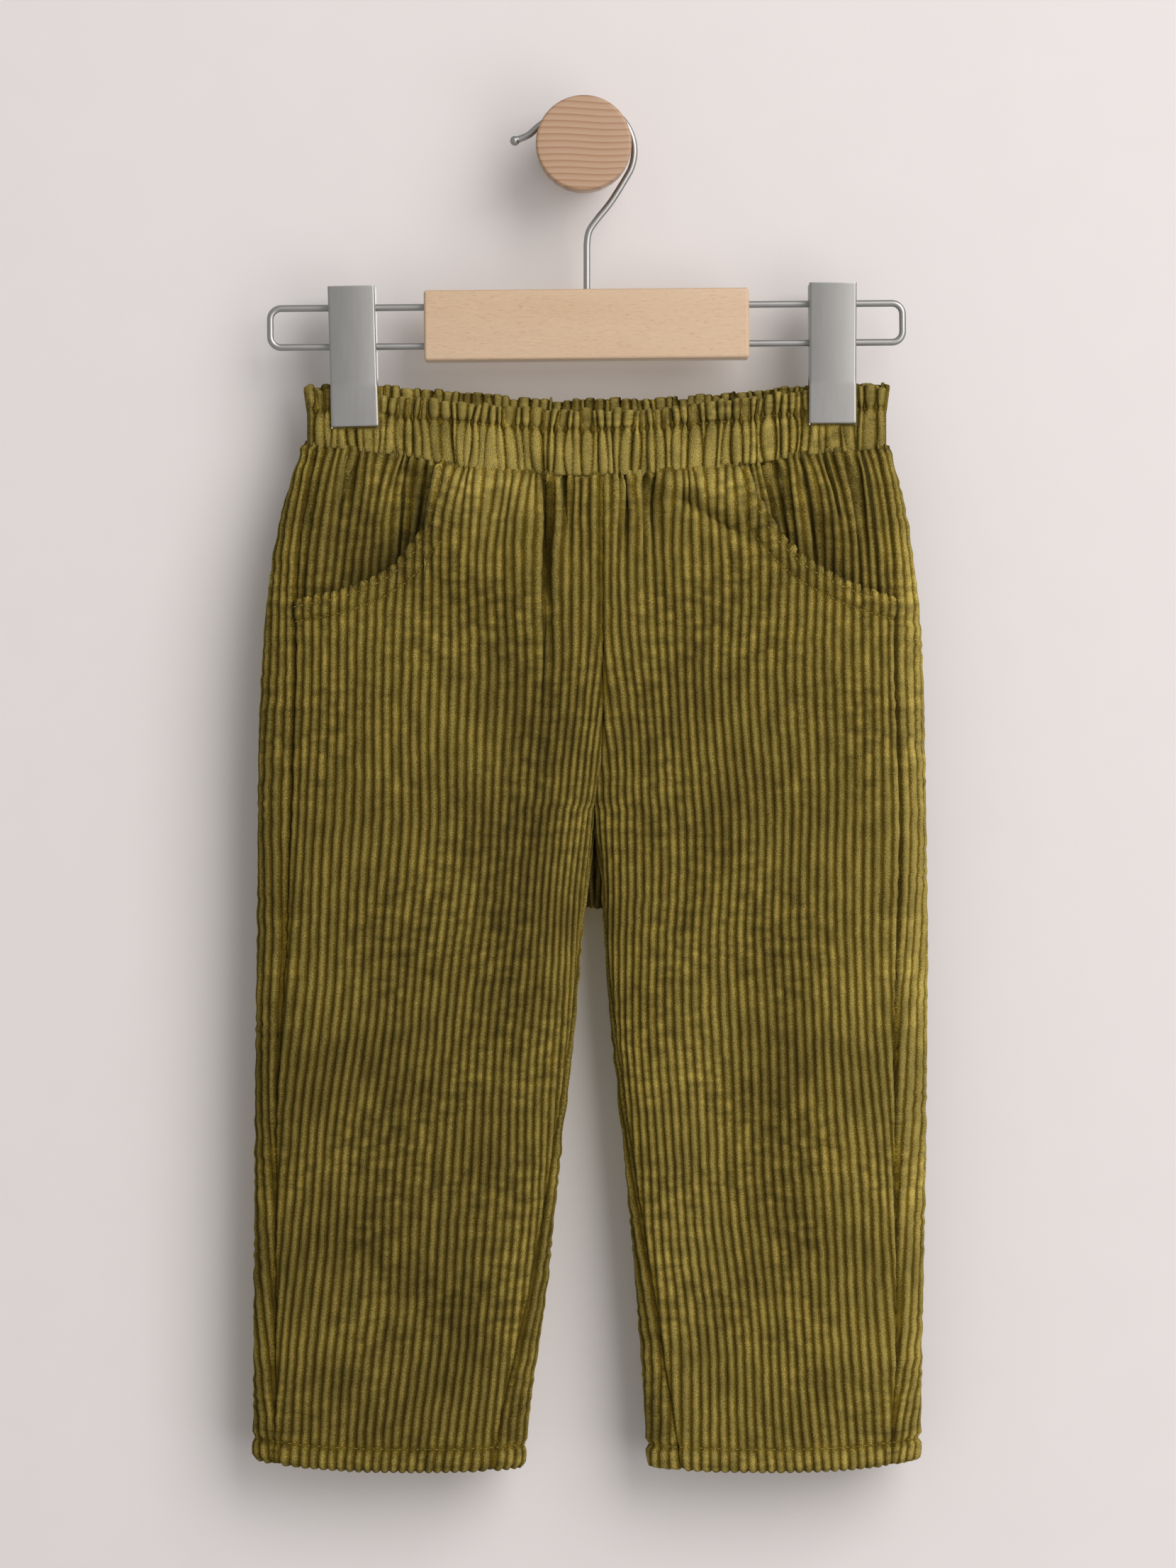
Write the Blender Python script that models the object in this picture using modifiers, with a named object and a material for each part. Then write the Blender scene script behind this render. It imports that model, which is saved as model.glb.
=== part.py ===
"""Child's corduroy trousers on a clip hanger, which hangs from a round wooden wall peg.

Lengths in this file are millimetres; mesh coordinates are turned to metres when an object is made.
+Z is up, the wall is the plane y = 0 and the trousers face -Y. The origin is the middle of the
peg's back face, on the wall. Left and right are the viewer's, seen from the front.
"""
from collections import namedtuple
from math import cos, pi, radians, sin, tau

import bmesh
import bpy
import numpy as np
from mathutils import Vector

MM = 0.001                    # metres in one millimetre

# ---------------------------------------------------------------- driving sizes
SEAM_GAP = 0.3                # clearance between two sewn or seated pieces
CORD_WALL = 1.6               # one layer of jumbo cord, under its wales
WALE_PITCH = 4.25             # from one wale to the next
WALE_HEIGHT = 0.9             # ridge above valley
LINING_STEP = 13.0            # spacing of points across the plain inside of a wall
HANG_Y = -28.0                # plane in which the hanger and the trousers hang
BODY_ROUNDNESS = 3.0          # exponent of the rounded outline of hip and leg

HEM_HEIGHT = 10.0             # turned hem, doubled inside
CROTCH_FRONT = -306.0         # where the two fronts part
CROTCH_BACK = -352.0          # lowest point of the seat
CENTRE_BACK_X = 5.0           # and the plane between the two halves of the seat
FRONT_CLOSING = -270.0        # from here down the fronts turn round the legs' inner edges
WAIST_LEVEL = -139.0          # waist seam at the sides
HIP_LEVEL = -182.0            # full hip form from here down
POCKET_END = -211.0
FACING_BOTTOM = -224.0
HEM_LEVEL = -608.0
HEM_CURVE_START = -560.0      # from here down the levels take on the hem's curve:
HEM_SAG = -3.3                # the middle of a hem hangs lower
HEM_OUTER_LIFT = 5.6          # than its outer end
HEM_INNER_LIFT = 2.0          # and its inner end
WAIST_BLEND = 2.2             # exponent with which the waist's section turns into the hip's
FOLD_START = 14.0             # folds rise to full height this far below the waist seam
FOLD_EDGE_DEPTH = 12.0        # and fade where the cloth lies nearer the hanging plane than this

BAND_WALL = 3.0               # doubled cord and elastic
BAND_CENTRE = 6.0
BAND_HALF_WIDTH = 135.5
FRILL_WAVES = 40              # gathers in one half of the waistband
FRILL_HEIGHT = 1.3
FRILL_SCALLOP = 0.9           # rise of each gather's top edge
FRILL_UNEVENNESS = 0.3
BAND_END_FADE = 8.0           # gathers fade over this distance to the ends
BAND_CROWDING = 0.35          # how much closer the gathers stand near the ends
LEAST_DEPTH = 0.25            # half the gap left where two halves meet at an edge

PEG_NECK_RADIUS = 17.7
PEG_FACE_RADIUS = 22.0
PEG_NECK_LENGTH = 32.0
PEG_LENGTH = 46.0
PEG_EDGE = 1.4                # rounding of the face's rim

WIRE_RADIUS = 1.6
BORE_RADIUS = WIRE_RADIUS + 0.35
HOOK_ARC_RADIUS = 22.1
BAR_CENTRE = (1.3, HANG_Y, -82.5)
BAR_SIZE = (150.0, 17.0, 32.5)
BAR_EDGE = 2.2
HANGER_ROLL = 0.5             # degrees, left end low
WIRE_SPREAD = 9.0             # each wire above or below the bar's middle
FRAME_HALF_LENGTH = 146.2
FRAME_CORNER = 5.0

CLIP_WIDTH = 21.7
CLIP_LENGTH = 65.0
CLIP_PLATE = 1.2
CLIP_BITE = 4.0               # jaw's inner face from the hanging plane, at the mouth
CLIP_SPREAD = 6.0             # how much further apart the jaws are at the top
CLIP_PRESS_MARGIN = 0.5       # gathers are pressed flat under a jaw and this far beside it,
CLIP_PRESS_FADE = 5.0         # and come back over this distance

# ---------------------------------------------------------------- tables
# Horizontal sections of the trousers: x of the edges and of the side seams, and half the depth.
Section = namedtuple(
    "Section",
    "z left_outer left_seam left_inner right_inner right_seam right_outer half_depth")
SECTIONS = [
    Section(-139, -130.5, -124.0, 8.7, 8.7, 135.5, 141.5, 10.5),
    Section(-150, -133.5, -126.5, 8.7, 8.7, 138.0, 144.3, 12.0),
    Section(-165, -137.3, -129.0, 8.7, 8.7, 140.3, 147.3, 14.0),
    Section(-182, -141.0, -131.3, 8.7, 8.7, 142.3, 150.0, 15.5),
    Section(-211, -145.3, -133.2, 8.7, 8.7, 143.8, 153.6, 16.6),
    Section(-240, -147.5, -133.2, 8.7, 8.7, 143.8, 155.5, 17.0),
    Section(-276, -149.0, -134.3, 8.4, 8.4, 145.1, 156.5, 17.0),
    Section(-306, -149.3, -135.2, 5.0, 5.0, 146.3, 157.0, 16.6),
    Section(-335, -149.5, -136.2, 1.7, 8.9, 146.0, 157.4, 16.0),
    Section(-365, -149.8, -137.2, -2.0, 10.8, 144.9, 157.8, 15.3),
    Section(-404, -150.3, -139.9, -5.4, 14.0, 143.8, 157.6, 14.8),
    Section(-440, -150.7, -141.9, -9.2, 17.5, 143.9, 157.2, 14.2),
    Section(-487, -151.0, -142.3, -14.0, 21.8, 144.2, 156.6, 13.4),
    Section(-527, -151.2, -142.6, -18.2, 25.3, 144.8, 155.8, 12.8),
    Section(-556, -151.4, -142.7, -22.3, 27.4, 145.0, 155.2, 12.4),
    Section(-581, -151.5, -142.8, -25.8, 29.2, 143.4, 154.9, 12.1),
    Section(-608, -151.6, -142.8, -28.4, 30.8, 141.8, 154.6, 11.8),
]

# Where the inseam lies, as a distance along the section from the leg's inner edge to the front.
Inseam = namedtuple("Inseam", "z forward")
INSEAM = [Inseam(-306, 4.0), Inseam(-404, 4.5), Inseam(-460, 7.0),
          Inseam(-520, 11.0), Inseam(-570, 15.0), Inseam(-608, 19.0)]

# Heights of the waistband's edges along its length.
Band = namedtuple("Band", "x front_top back_top front_stitch back_stitch front_seam back_seam")
BAND = [
    Band(-130, -111.0, -109.8, -121.0, -120.0, -138.0, -138.0),
    Band(-100, -113.5, -110.3, -123.5, -120.5, -141.5, -140.5),
    Band(-78, -116.0, -111.2, -125.5, -121.3, -144.0, -142.5),
    Band(-60, -118.0, -112.5, -127.2, -122.5, -148.4, -144.0),
    Band(-27, -121.0, -115.0, -130.3, -125.0, -151.6, -145.8),
    Band(5, -122.5, -116.0, -131.3, -126.0, -152.6, -146.5),
    Band(39, -120.5, -115.0, -129.6, -125.0, -150.9, -145.8),
    Band(69, -117.5, -113.0, -127.0, -123.0, -148.6, -144.0),
    Band(90, -114.2, -111.0, -124.2, -121.0, -144.8, -142.5),
    Band(119, -111.0, -109.5, -121.8, -119.8, -141.3, -141.0),
    Band(142, -109.5, -108.7, -120.5, -119.0, -140.0, -140.0),
]

# Half the depth of the waist, from its middle (0) to its end (1); flat where a clip bites.
BandDepth = namedtuple("BandDepth", "reach half_depth")
BAND_DEPTH = [
    BandDepth(0.0, 10.5), BandDepth(0.30, 10.0), BandDepth(0.50, 8.0), BandDepth(0.62, 5.2),
    BandDepth(0.70, 3.6), BandDepth(0.80, 3.4), BandDepth(0.92, 3.5), BandDepth(0.96, 3.6),
    BandDepth(0.99, 2.2), BandDepth(1.0, 0.25),
]

# Curved mouths of the hip pockets, from the waist seam to the side seam.
PocketEdge = namedtuple("PocketEdge", "left_x left_z right_x right_z")
POCKET_EDGE = [
    PocketEdge(-67.0, -146.0, 73.5, -146.0), PocketEdge(-69.0, -163.0, 77.5, -160.0),
    PocketEdge(-72.3, -176.0, 82.5, -168.0), PocketEdge(-76.9, -183.0, 87.7, -177.0),
    PocketEdge(-83.5, -191.5, 93.5, -184.0), PocketEdge(-92.3, -198.5, 101.0, -191.0),
    PocketEdge(-102.5, -203.5, 112.0, -198.0), PocketEdge(-115.0, -207.5, 125.0, -204.0),
    PocketEdge(-134.0, -211.0, 144.5, -210.0),
]

# Folds of the front and of the back: a soft ridge (+) or trough (-) along a line from its upper
# to its lower end, with the spread to each side and the height.
Fold = namedtuple("Fold", "x_top z_top x_low z_low spread height")
FRONT_FOLDS = [
    Fold(-44, -162, -45, -192, 15.0, 3.2),      # left puff beside the pocket
    Fold(58, -160, 60, -188, 15.0, 3.2),        # right puff
    Fold(-17.5, -158, -19, -232, 3.2, -3.4),    # deep pleat left of the placket
    Fold(27, -158, 30, -215, 4.5, -2.2),        # softer one to the right
    Fold(57, -168, 82, -183, 3.0, -1.8),        # crease across the right puff
    Fold(-105, -146, -110, -166, 2.6, -1.6),    # creases in the left facing
    Fold(-83, -150, -86, -172, 2.6, -1.4),
    Fold(98, -150, 103, -176, 2.6, -1.6),       # creases in the right facing
    Fold(124, -148, 127, -190, 3.0, -1.4),
    Fold(-100, -235, -60, -300, 26.0, 1.6),     # soft fullness of the thighs
    Fold(100, -240, 66, -305, 26.0, 1.6),
    Fold(-60, -420, -85, -560, 18.0, -1.5),     # slack of the lower legs
    Fold(70, -430, 98, -560, 18.0, -1.5),
]
BACK_FOLDS = [
    Fold(-96, -150, -92, -205, 4.0, -2.4),
    Fold(-62, -152, -58, -226, 4.5, -2.8),
    Fold(-22, -154, -16, -200, 4.0, -2.2),
    Fold(36, -154, 31, -214, 4.5, -2.6),
    Fold(74, -152, 66, -222, 4.5, -2.8),
    Fold(108, -150, 104, -198, 4.0, -2.2),
    Fold(-70, -190, -60, -285, 34.0, 2.2),
    Fold(78, -190, 68, -285, 34.0, 2.2),
    Fold(-30, -320, -95, -372, 9.0, -2.0),      # drag lines below the seat
    Fold(42, -322, 104, -370, 9.0, -2.0),
]

Clip = namedtuple("Clip", "name x foot roll")
CLIPS = [Clip("clip_left", -105.6, -129.3, -1.4), Clip("clip_right", 114.9, -127.8, 0.0)]

Side = namedtuple("Side", "name sign")
LEFT = Side("left", -1)
RIGHT = Side("right", 1)
SIDES = (LEFT, RIGHT)


# ---------------------------------------------------------------- small mathematics
def smooth_step(value):
    value = np.clip(value, 0.0, 1.0)
    return value * value * (3.0 - 2.0 * value)


def read(table, key, column, at):
    """Smooth curve through a table's column, against its key column."""
    rows = sorted(table, key=lambda row: getattr(row, key))
    keys = np.array([getattr(row, key) for row in rows], float)
    values = np.array([getattr(row, column) for row in rows], float)
    slopes = np.gradient(values, keys)
    at = np.clip(np.asarray(at, float), keys[0], keys[-1])
    cell = np.clip(np.searchsorted(keys, at) - 1, 0, len(keys) - 2)
    width = keys[cell + 1] - keys[cell]
    t = (at - keys[cell]) / width
    return ((1 + 2 * t) * (1 - t) ** 2 * values[cell]
            + t * (1 - t) ** 2 * width * slopes[cell]
            + t * t * (3 - 2 * t) * values[cell + 1]
            + t * t * (t - 1) * width * slopes[cell + 1])


def fold_height(folds, x, z):
    """Sum of the folds at a place on the front or the back."""
    total = np.zeros(np.broadcast(x, z).shape)
    for fold in folds:
        along_x = fold.x_low - fold.x_top
        along_z = fold.z_low - fold.z_top
        length2 = along_x ** 2 + along_z ** 2
        t = np.clip(((x - fold.x_top) * along_x + (z - fold.z_top) * along_z) / length2, 0, 1)
        away2 = (x - fold.x_top - t * along_x) ** 2 + (z - fold.z_top - t * along_z) ** 2
        total = total + fold.height * np.exp(-away2 / (2 * fold.spread ** 2))
    return total


# ---------------------------------------------------------------- form of the trousers
Ring = namedtuple("Ring", "theta length outer lining")
RING_THETA = np.linspace(0.0, 2.5 * pi, 901)


def faces_front(theta):
    """True on the front, and again where a ring has gone all the way round the leg."""
    return (theta < pi) | (theta > tau + 1e-6)


def band_half_depth(x):
    reach = np.abs(x - BAND_CENTRE) / BAND_HALF_WIDTH
    return read(BAND_DEPTH, "reach", "half_depth", reach)


def ring(side, z, seat_closed):
    """Outline of one half of the trousers at height z.

    theta runs from the centre or inner edge (0) over the front to the outer edge (pi) and over the
    back (2 pi). Coordinates are (outward, y), where outward is x on the right and -x on the left.
    seat_closed is 1 where the back closes round the leg and 0 where it reaches the centre back.
    """
    outer_edge = side.sign * read(SECTIONS, "z", side.name + "_outer", z)
    inner_edge = side.sign * read(SECTIONS, "z", side.name + "_inner", z)
    centre_back = side.sign * CENTRE_BACK_X
    front_closed = float(smooth_step((FRONT_CLOSING - z) / (FRONT_CLOSING - CROTCH_FRONT)))
    half_depth = read(SECTIONS, "z", "half_depth", z)

    on_front = faces_front(RING_THETA)
    closed = np.where(on_front, front_closed, seat_closed)
    back_inner = inner_edge * seat_closed + centre_back * (1 - seat_closed)
    inner = np.where(on_front, inner_edge, back_inner)
    power = 2.0 / BODY_ROUNDNESS
    across = -np.sign(np.cos(RING_THETA)) * np.abs(np.cos(RING_THETA)) ** power
    bulge = np.abs(np.sin(RING_THETA)) ** power
    bulge = np.where(across < 0, 1 - closed + closed * bulge, bulge)
    facing = np.where(on_front, -1.0, 1.0)

    waist = (1.0 - np.clip((WAIST_LEVEL - z) / (WAIST_LEVEL - HIP_LEVEL), 0, 1)) ** WAIST_BLEND
    result = []
    for wall in (0.0, CORD_WALL):
        far = outer_edge - wall
        near = inner + wall * closed
        outward = far - (far - near) * (1 - across) / 2
        depth = (half_depth - wall) * bulge
        band_far = BAND_HALF_WIDTH + side.sign * BAND_CENTRE - wall
        band_outward = band_far - (band_far - near) * (1 - across) / 2
        band_depth = band_half_depth(side.sign * band_outward)
        band_depth = np.maximum(band_depth - wall, LEAST_DEPTH)
        outward = outward + waist * (band_outward - outward)
        depth = depth + waist * (band_depth - depth)
        result.append(np.stack([outward, HANG_Y + facing * depth], axis=1))
    steps = np.hypot(*np.diff(result[0], axis=0).T)
    length = np.concatenate([[0.0], np.cumsum(steps)])
    return Ring(RING_THETA, length, result[0], result[1])


def side_seam_length(side, z, outline):
    """Distance along the ring to the side seam, which lies on the front near the outer edge."""
    seam = side.sign * read(SECTIONS, "z", side.name + "_seam", z)
    front = outline.theta <= pi
    return float(np.interp(seam, outline.outer[front, 0], outline.length[front]))


def level_height(level, x, on_front):
    """True height of a level: it follows the waist seam at the top and the hem at the bottom."""
    seam = np.where(on_front, read(BAND, "x", "front_seam", x), read(BAND, "x", "back_seam", x))
    top_share = 1.0 - smooth_step((WAIST_LEVEL - level) / (WAIST_LEVEL - POCKET_END))
    height = level + (seam - WAIST_LEVEL) * top_share
    height = height - SEAM_GAP * (level == WAIST_LEVEL)
    hem_share = smooth_step((level - HEM_CURVE_START) / (HEM_LEVEL - HEM_CURVE_START))
    hem = SECTIONS[-1]
    inner = np.where(x < 0, hem.left_inner, hem.right_inner)
    outer = np.where(x < 0, hem.left_outer, hem.right_outer)
    across = np.clip((x - inner) / (outer - inner), 0, 1)
    curve = HEM_SAG + HEM_OUTER_LIFT * across ** 4 + HEM_INNER_LIFT * (1 - across) ** 4
    return height + curve * hem_share


def place(side, level, outline, at_length, depth_share, raise_by=0.0):
    """Points of a level at distances along its ring.

    depth_share 0 is the outer face and 1 the inner face of the wall. raise_by lifts outer points
    along the ring's outward normal.
    """
    at_length = np.asarray(at_length, float)
    skin = [np.interp(at_length, outline.length, outline.outer[:, i]) for i in (0, 1)]
    lining = [np.interp(at_length, outline.length, outline.lining[:, i]) for i in (0, 1)]
    outward = skin[0] + depth_share * (lining[0] - skin[0])
    y = skin[1] + depth_share * (lining[1] - skin[1])
    tangent = np.gradient(outline.outer, outline.length, axis=0)
    tangent_out = np.interp(at_length, outline.length, tangent[:, 0])
    tangent_y = np.interp(at_length, outline.length, tangent[:, 1])
    size = np.hypot(tangent_out, tangent_y) + 1e-9
    outward = outward + raise_by * tangent_y / size
    y = y - raise_by * tangent_out / size
    theta = np.interp(at_length, outline.length, outline.theta)
    on_front = faces_front(theta)
    x = side.sign * outward
    z = level_height(level, x, on_front)
    below_seam = smooth_step((WAIST_LEVEL - level) / FOLD_START)
    front_fold = fold_height(FRONT_FOLDS, x, z)
    back_fold = fold_height(BACK_FOLDS, x, z)
    flat = smooth_step(np.abs(y - HANG_Y) / FOLD_EDGE_DEPTH)
    y = y + below_seam * flat * np.where(on_front, -front_fold, back_fold)
    return np.stack([x, y, z], axis=1)


# ---------------------------------------------------------------- walls from rows
Row = namedtuple("Row", "down keys points")      # down grows from the top row to the bottom row


def wale_keys(start, end):
    """Grain coordinates of valleys and ridges between two edges, with the edges themselves."""
    half = WALE_PITCH / 2
    first = int(np.ceil((start + 0.3 * WALE_PITCH) / half))
    last = int(np.floor((end - 0.3 * WALE_PITCH) / half))
    inner = np.arange(first, last + 1)
    keys = np.concatenate([[start], inner * half, [end]])
    heights = np.concatenate([[0.0], np.where(inner % 2 == 1, WALE_HEIGHT, 0.0), [0.0]])
    return keys, heights


def plain_keys(start, end):
    count = max(2, int(round((end - start) / LINING_STEP)))
    return np.linspace(start, end, count + 1)


def zip_rows(mesh, verts_a, keys_a, verts_b, keys_b):
    """Triangles between two rows of points, advancing on the row whose next key comes first."""
    a = b = 0
    while a < len(verts_a) - 1 or b < len(verts_b) - 1:
        step_a = a < len(verts_a) - 1
        if step_a and b < len(verts_b) - 1:
            step_a = keys_a[a + 1] <= keys_b[b + 1]
        if step_a:
            mesh.faces.new((verts_a[a], verts_a[a + 1], verts_b[b]))
            a += 1
        else:
            mesh.faces.new((verts_a[a], verts_b[b + 1], verts_b[b]))
            b += 1


def shares(keys):
    keys = np.asarray(keys, float)
    return (keys - keys[0]) / (keys[-1] - keys[0])


def wall_mesh(skin_rows, lining_rows):
    """Closed wall between an outer and an inner surface, each given as rows from top to bottom."""
    mesh = bmesh.new()
    surfaces = []
    for rows in (skin_rows, lining_rows):
        verts = [[mesh.verts.new(Vector(point) * MM) for point in row.points] for row in rows]
        for upper in range(len(rows) - 1):
            zip_rows(mesh, verts[upper], rows[upper].keys, verts[upper + 1], rows[upper + 1].keys)
        surfaces.append(verts)
    skin, lining = surfaces
    for end in (0, -1):
        zip_rows(mesh, skin[end], shares(skin_rows[end].keys),
                 lining[end], shares(lining_rows[end].keys))
    for end in (0, -1):
        zip_rows(mesh, [row[end] for row in skin], [row.down for row in skin_rows],
                 [row[end] for row in lining], [row.down for row in lining_rows])
    bmesh.ops.recalc_face_normals(mesh, faces=mesh.faces)
    return mesh


# ---------------------------------------------------------------- objects and materials
def material(name, hex_colour, roughness, metallic=0.0):
    channels = [int(hex_colour[i:i + 2], 16) / 255 for i in (0, 2, 4)]
    linear = [c / 12.92 if c <= 0.04045 else ((c + 0.055) / 1.055) ** 2.4 for c in channels]
    made = bpy.data.materials.new(name)
    made.use_nodes = True
    shader = made.node_tree.nodes["Principled BSDF"]
    shader.inputs["Base Color"].default_value = (*linear, 1.0)
    shader.inputs["Roughness"].default_value = roughness
    shader.inputs["Metallic"].default_value = metallic
    return made


def add_object(name, data, look, collection):
    made = bpy.data.objects.new(name, data)
    data.materials.append(look)
    collection.objects.link(made)
    return made


def add_mesh(name, mesh, look, collection):
    data = bpy.data.meshes.new(name)
    mesh.to_mesh(data)
    mesh.free()
    return add_object(name, data, look, collection)


def clear_scene():
    for old in list(bpy.data.objects):
        bpy.data.objects.remove(old, do_unlink=True)


# ---------------------------------------------------------------- trouser panels
TOP_LEVELS = [WAIST_LEVEL, -150.0, -165.0, HIP_LEVEL]
POCKET_LEVELS = [-191.0, -198.0, -204.0]
HIP_LEVELS = [POCKET_END, -240.0, -276.0]
FRONT_LEG_LEVELS = [CROTCH_FRONT, -365.0, -404.0, -460.0, -530.0]
HEM_FOLD_LEVEL = HEM_LEVEL + HEM_HEIGHT
FRONT_LEVELS = TOP_LEVELS + POCKET_LEVELS + HIP_LEVELS + FRONT_LEG_LEVELS

# Back levels: height at the outer side, height at the inner end, and what the end is.
BackLevel = namedtuple("BackLevel", "level end_level end")
BACK_LEVELS = (
    [BackLevel(level, level, "centre") for level in TOP_LEVELS + HIP_LEVELS[:2]]
    + [BackLevel(-276.0, -284.0, "centre"), BackLevel(-306.0, -322.0, "centre"),
       BackLevel(-335.0, CROTCH_BACK, "centre"), BackLevel(-365.0, CROTCH_FRONT, "inseam"),
       BackLevel(-404.0, -365.0, "inseam"),
       BackLevel(-430.0, -404.0, "inseam"), BackLevel(-460.0, -460.0, "inseam"),
       BackLevel(-530.0, -530.0, "inseam")]
)


def front_outline(side, level):
    """Ring of a front level and the lengths of its inner end and of its side seam."""
    outline = ring(side, level, seat_closed=1.0 if level <= CROTCH_FRONT else 0.0)
    start = float(read(INSEAM, "z", "forward", level)) if level <= CROTCH_FRONT else 0.0
    return outline, start, side_seam_length(side, level, outline)


def pocket_height(side, x):
    """Height of the pocket's mouth, above which the front panel is cut away."""
    return read(POCKET_EDGE, side.name + "_x", side.name + "_z", x)


def mouth_start(side):
    """Distance from the middle of the trousers at which the pocket's mouth starts at the waist."""
    return abs(POCKET_EDGE[0].left_x if side is LEFT else POCKET_EDGE[0].right_x)


def pocket_cut(side, level, outline, start, seam):
    """Distance from the side seam at which a front level meets the pocket's mouth."""
    if level <= POCKET_END:
        return 0.0
    lengths = np.linspace(start, seam, 600)
    points = place(side, level, outline, lengths, 0.0)
    outward = side.sign * points[:, 0]
    cut = (points[:, 2] > pocket_height(side, points[:, 0])) & (outward > mouth_start(side))
    if not cut.any():
        return 0.0
    return float(seam - lengths[np.argmax(cut)])


def front_hip_width(side):
    _outline, start, seam = front_outline(side, POCKET_END)
    return seam - start


def gather(level, width, full_width):
    """Wales draw together towards the waist: grain distance per distance along the ring."""
    return full_width / width if level > POCKET_END else 1.0


def front_rows(side):
    full_width = front_hip_width(side)
    skin, lining = [], []
    for level in FRONT_LEVELS + [HEM_FOLD_LEVEL, HEM_LEVEL]:
        outline, start, seam = front_outline(side, level)
        cut = pocket_cut(side, level, outline, start, seam)
        scale = gather(level, seam - start, full_width)
        near = (cut + SEAM_GAP / 2) * scale
        far = (seam - start - SEAM_GAP / 2) * scale
        if level != HEM_FOLD_LEVEL:
            keys, heights = wale_keys(near, far)
            points = place(side, level, outline, seam - keys / scale, 0.0, heights)
            skin.append(Row(-level, keys, points))
        keys = plain_keys(near, far)
        for inner_level, depth_share in lining_shares(level):
            points = place(side, inner_level, outline, seam - keys / scale, depth_share)
            lining.append(Row(-inner_level, keys, points))
    return skin, lining


def lining_shares(level):
    """Levels and depth shares of the inner face: the hem is doubled."""
    if level == HEM_FOLD_LEVEL:
        return [(level + 0.6, 1.0), (level, 2.0)]
    if level == HEM_LEVEL:
        return [(level, 2.0)]
    return [(level, 1.0)]


SEAM_EASE = 12.0              # over this distance a back panel follows the side seam,
LEG_EASE = 70.0               # over this one the inseam
FORK_EASE = 34.0              # and over this one the point where the four panels meet
FORK_LINING_LIFT = 9.0        # the inner face stays clear above the fold under the seat


def inseam_point(side, level):
    """Outer point of the inseam at a level."""
    outline, start, _seam = front_outline(side, level)
    return place(side, level, outline, [start], 0.0)[0]


def side_seam_point(side, level):
    """Outer point of the side seam, on the straight runs between the front panel's levels."""
    above = min(known for known in FRONT_LEVELS + [HEM_LEVEL] if known >= level)
    below = max(known for known in FRONT_LEVELS + [HEM_LEVEL] if known <= level)
    ends = []
    for known in (above, below):
        outline, _start, seam = front_outline(side, known)
        ends.append(place(side, known, outline, [seam], 0.0)[0])
    share = (above - level) / (above - below) if above > below else 0.0
    return ends[0] + share * (ends[1] - ends[0])


def back_rows(side):
    skin, lining = [], []
    hem_rows = [BackLevel(HEM_FOLD_LEVEL, HEM_FOLD_LEVEL, "inseam"),
                BackLevel(HEM_LEVEL, HEM_LEVEL, "inseam")]
    hip = ring(side, POCKET_END, 0.0)
    full_width = np.interp(tau, hip.theta, hip.length) - side_seam_length(side, POCKET_END, hip)
    for row in BACK_LEVELS + hem_rows:
        closed = row.end == "inseam"
        outline = ring(side, row.level, 1.0 if closed else 0.0)
        seam = side_seam_length(side, row.level, outline)
        end = float(np.interp(tau, outline.theta, outline.length))
        if closed:
            end += float(read(INSEAM, "z", "forward", row.level))
        scale = gather(row.level, end - seam, full_width)
        near = SEAM_GAP / 2 * scale
        far = (end - seam - SEAM_GAP / 2) * scale
        last = place(side, row.level, outline, [end], 0.0)[0]
        target = inseam_point(side, row.end_level) if closed else np.array(
            [last[0], last[1], last[2] + row.end_level - row.level])
        reach = FORK_EASE if row.end_level == CROTCH_FRONT else LEG_EASE
        shift = target - last
        first = place(side, row.level, outline, [seam], 0.0)[0]
        seam_shift = side_seam_point(side, row.level) - first

        def drawn(points, keys, lift=0.0):
            share = smooth_step((keys - (far - reach)) / reach)[:, None]
            seam_share = smooth_step(1 - keys / SEAM_EASE)[:, None]
            moved = points + share * (shift + np.array([0, 0, lift])) + seam_share * seam_shift
            outward = np.maximum(side.sign * moved[:, 0], side.sign * CENTRE_BACK_X + SEAM_GAP / 2)
            moved[:, 0] = side.sign * outward
            return moved

        if row.level != HEM_FOLD_LEVEL:
            keys, heights = wale_keys(near, far)
            points = place(side, row.level, outline, seam + keys / scale, 0.0, heights)
            skin.append(Row(-row.level, keys, drawn(points, keys)))
        keys = plain_keys(near, far)
        lift = FORK_LINING_LIFT if row.end_level == CROTCH_BACK else 0.0
        for level, depth_share in lining_shares(row.level):
            points = place(side, level, outline, seam + keys / scale, depth_share)
            lining.append(Row(-level, keys, drawn(points, keys, lift)))
    return skin, lining


FACING_LEVELS = [WAIST_LEVEL, -150.0, -165.0, HIP_LEVEL, -196.0, -204.0, POCKET_END, FACING_BOTTOM]
FACING_WALL = 1.4
FACING_RECESS = CORD_WALL + WALE_HEIGHT + 0.4
FACING_MARGIN = 3.5           # full recess up to here above the pocket's mouth
FACING_BLEND = 13.0           # over this further distance the facing comes level
FACING_REACH = 55.0           # its inner edge from the middle of the trousers, above this level:
FACING_TAPER_LEVEL = -168.0
FACING_TAPER = 42.0           # how much further out that edge lies at the bottom
FACING_SEAM_SETBACK = 0.9     # below the hip it stays behind the side seam


def facing_recess(side, points):
    """How deep the facing lies under the front's outer face."""
    above = points[:, 2] - pocket_height(side, points[:, 0])
    beside = side.sign * points[:, 0] - mouth_start(side)
    bare = np.minimum(above, beside) - FACING_MARGIN
    return FACING_RECESS * (1.0 - smooth_step(bare / FACING_BLEND))


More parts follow.
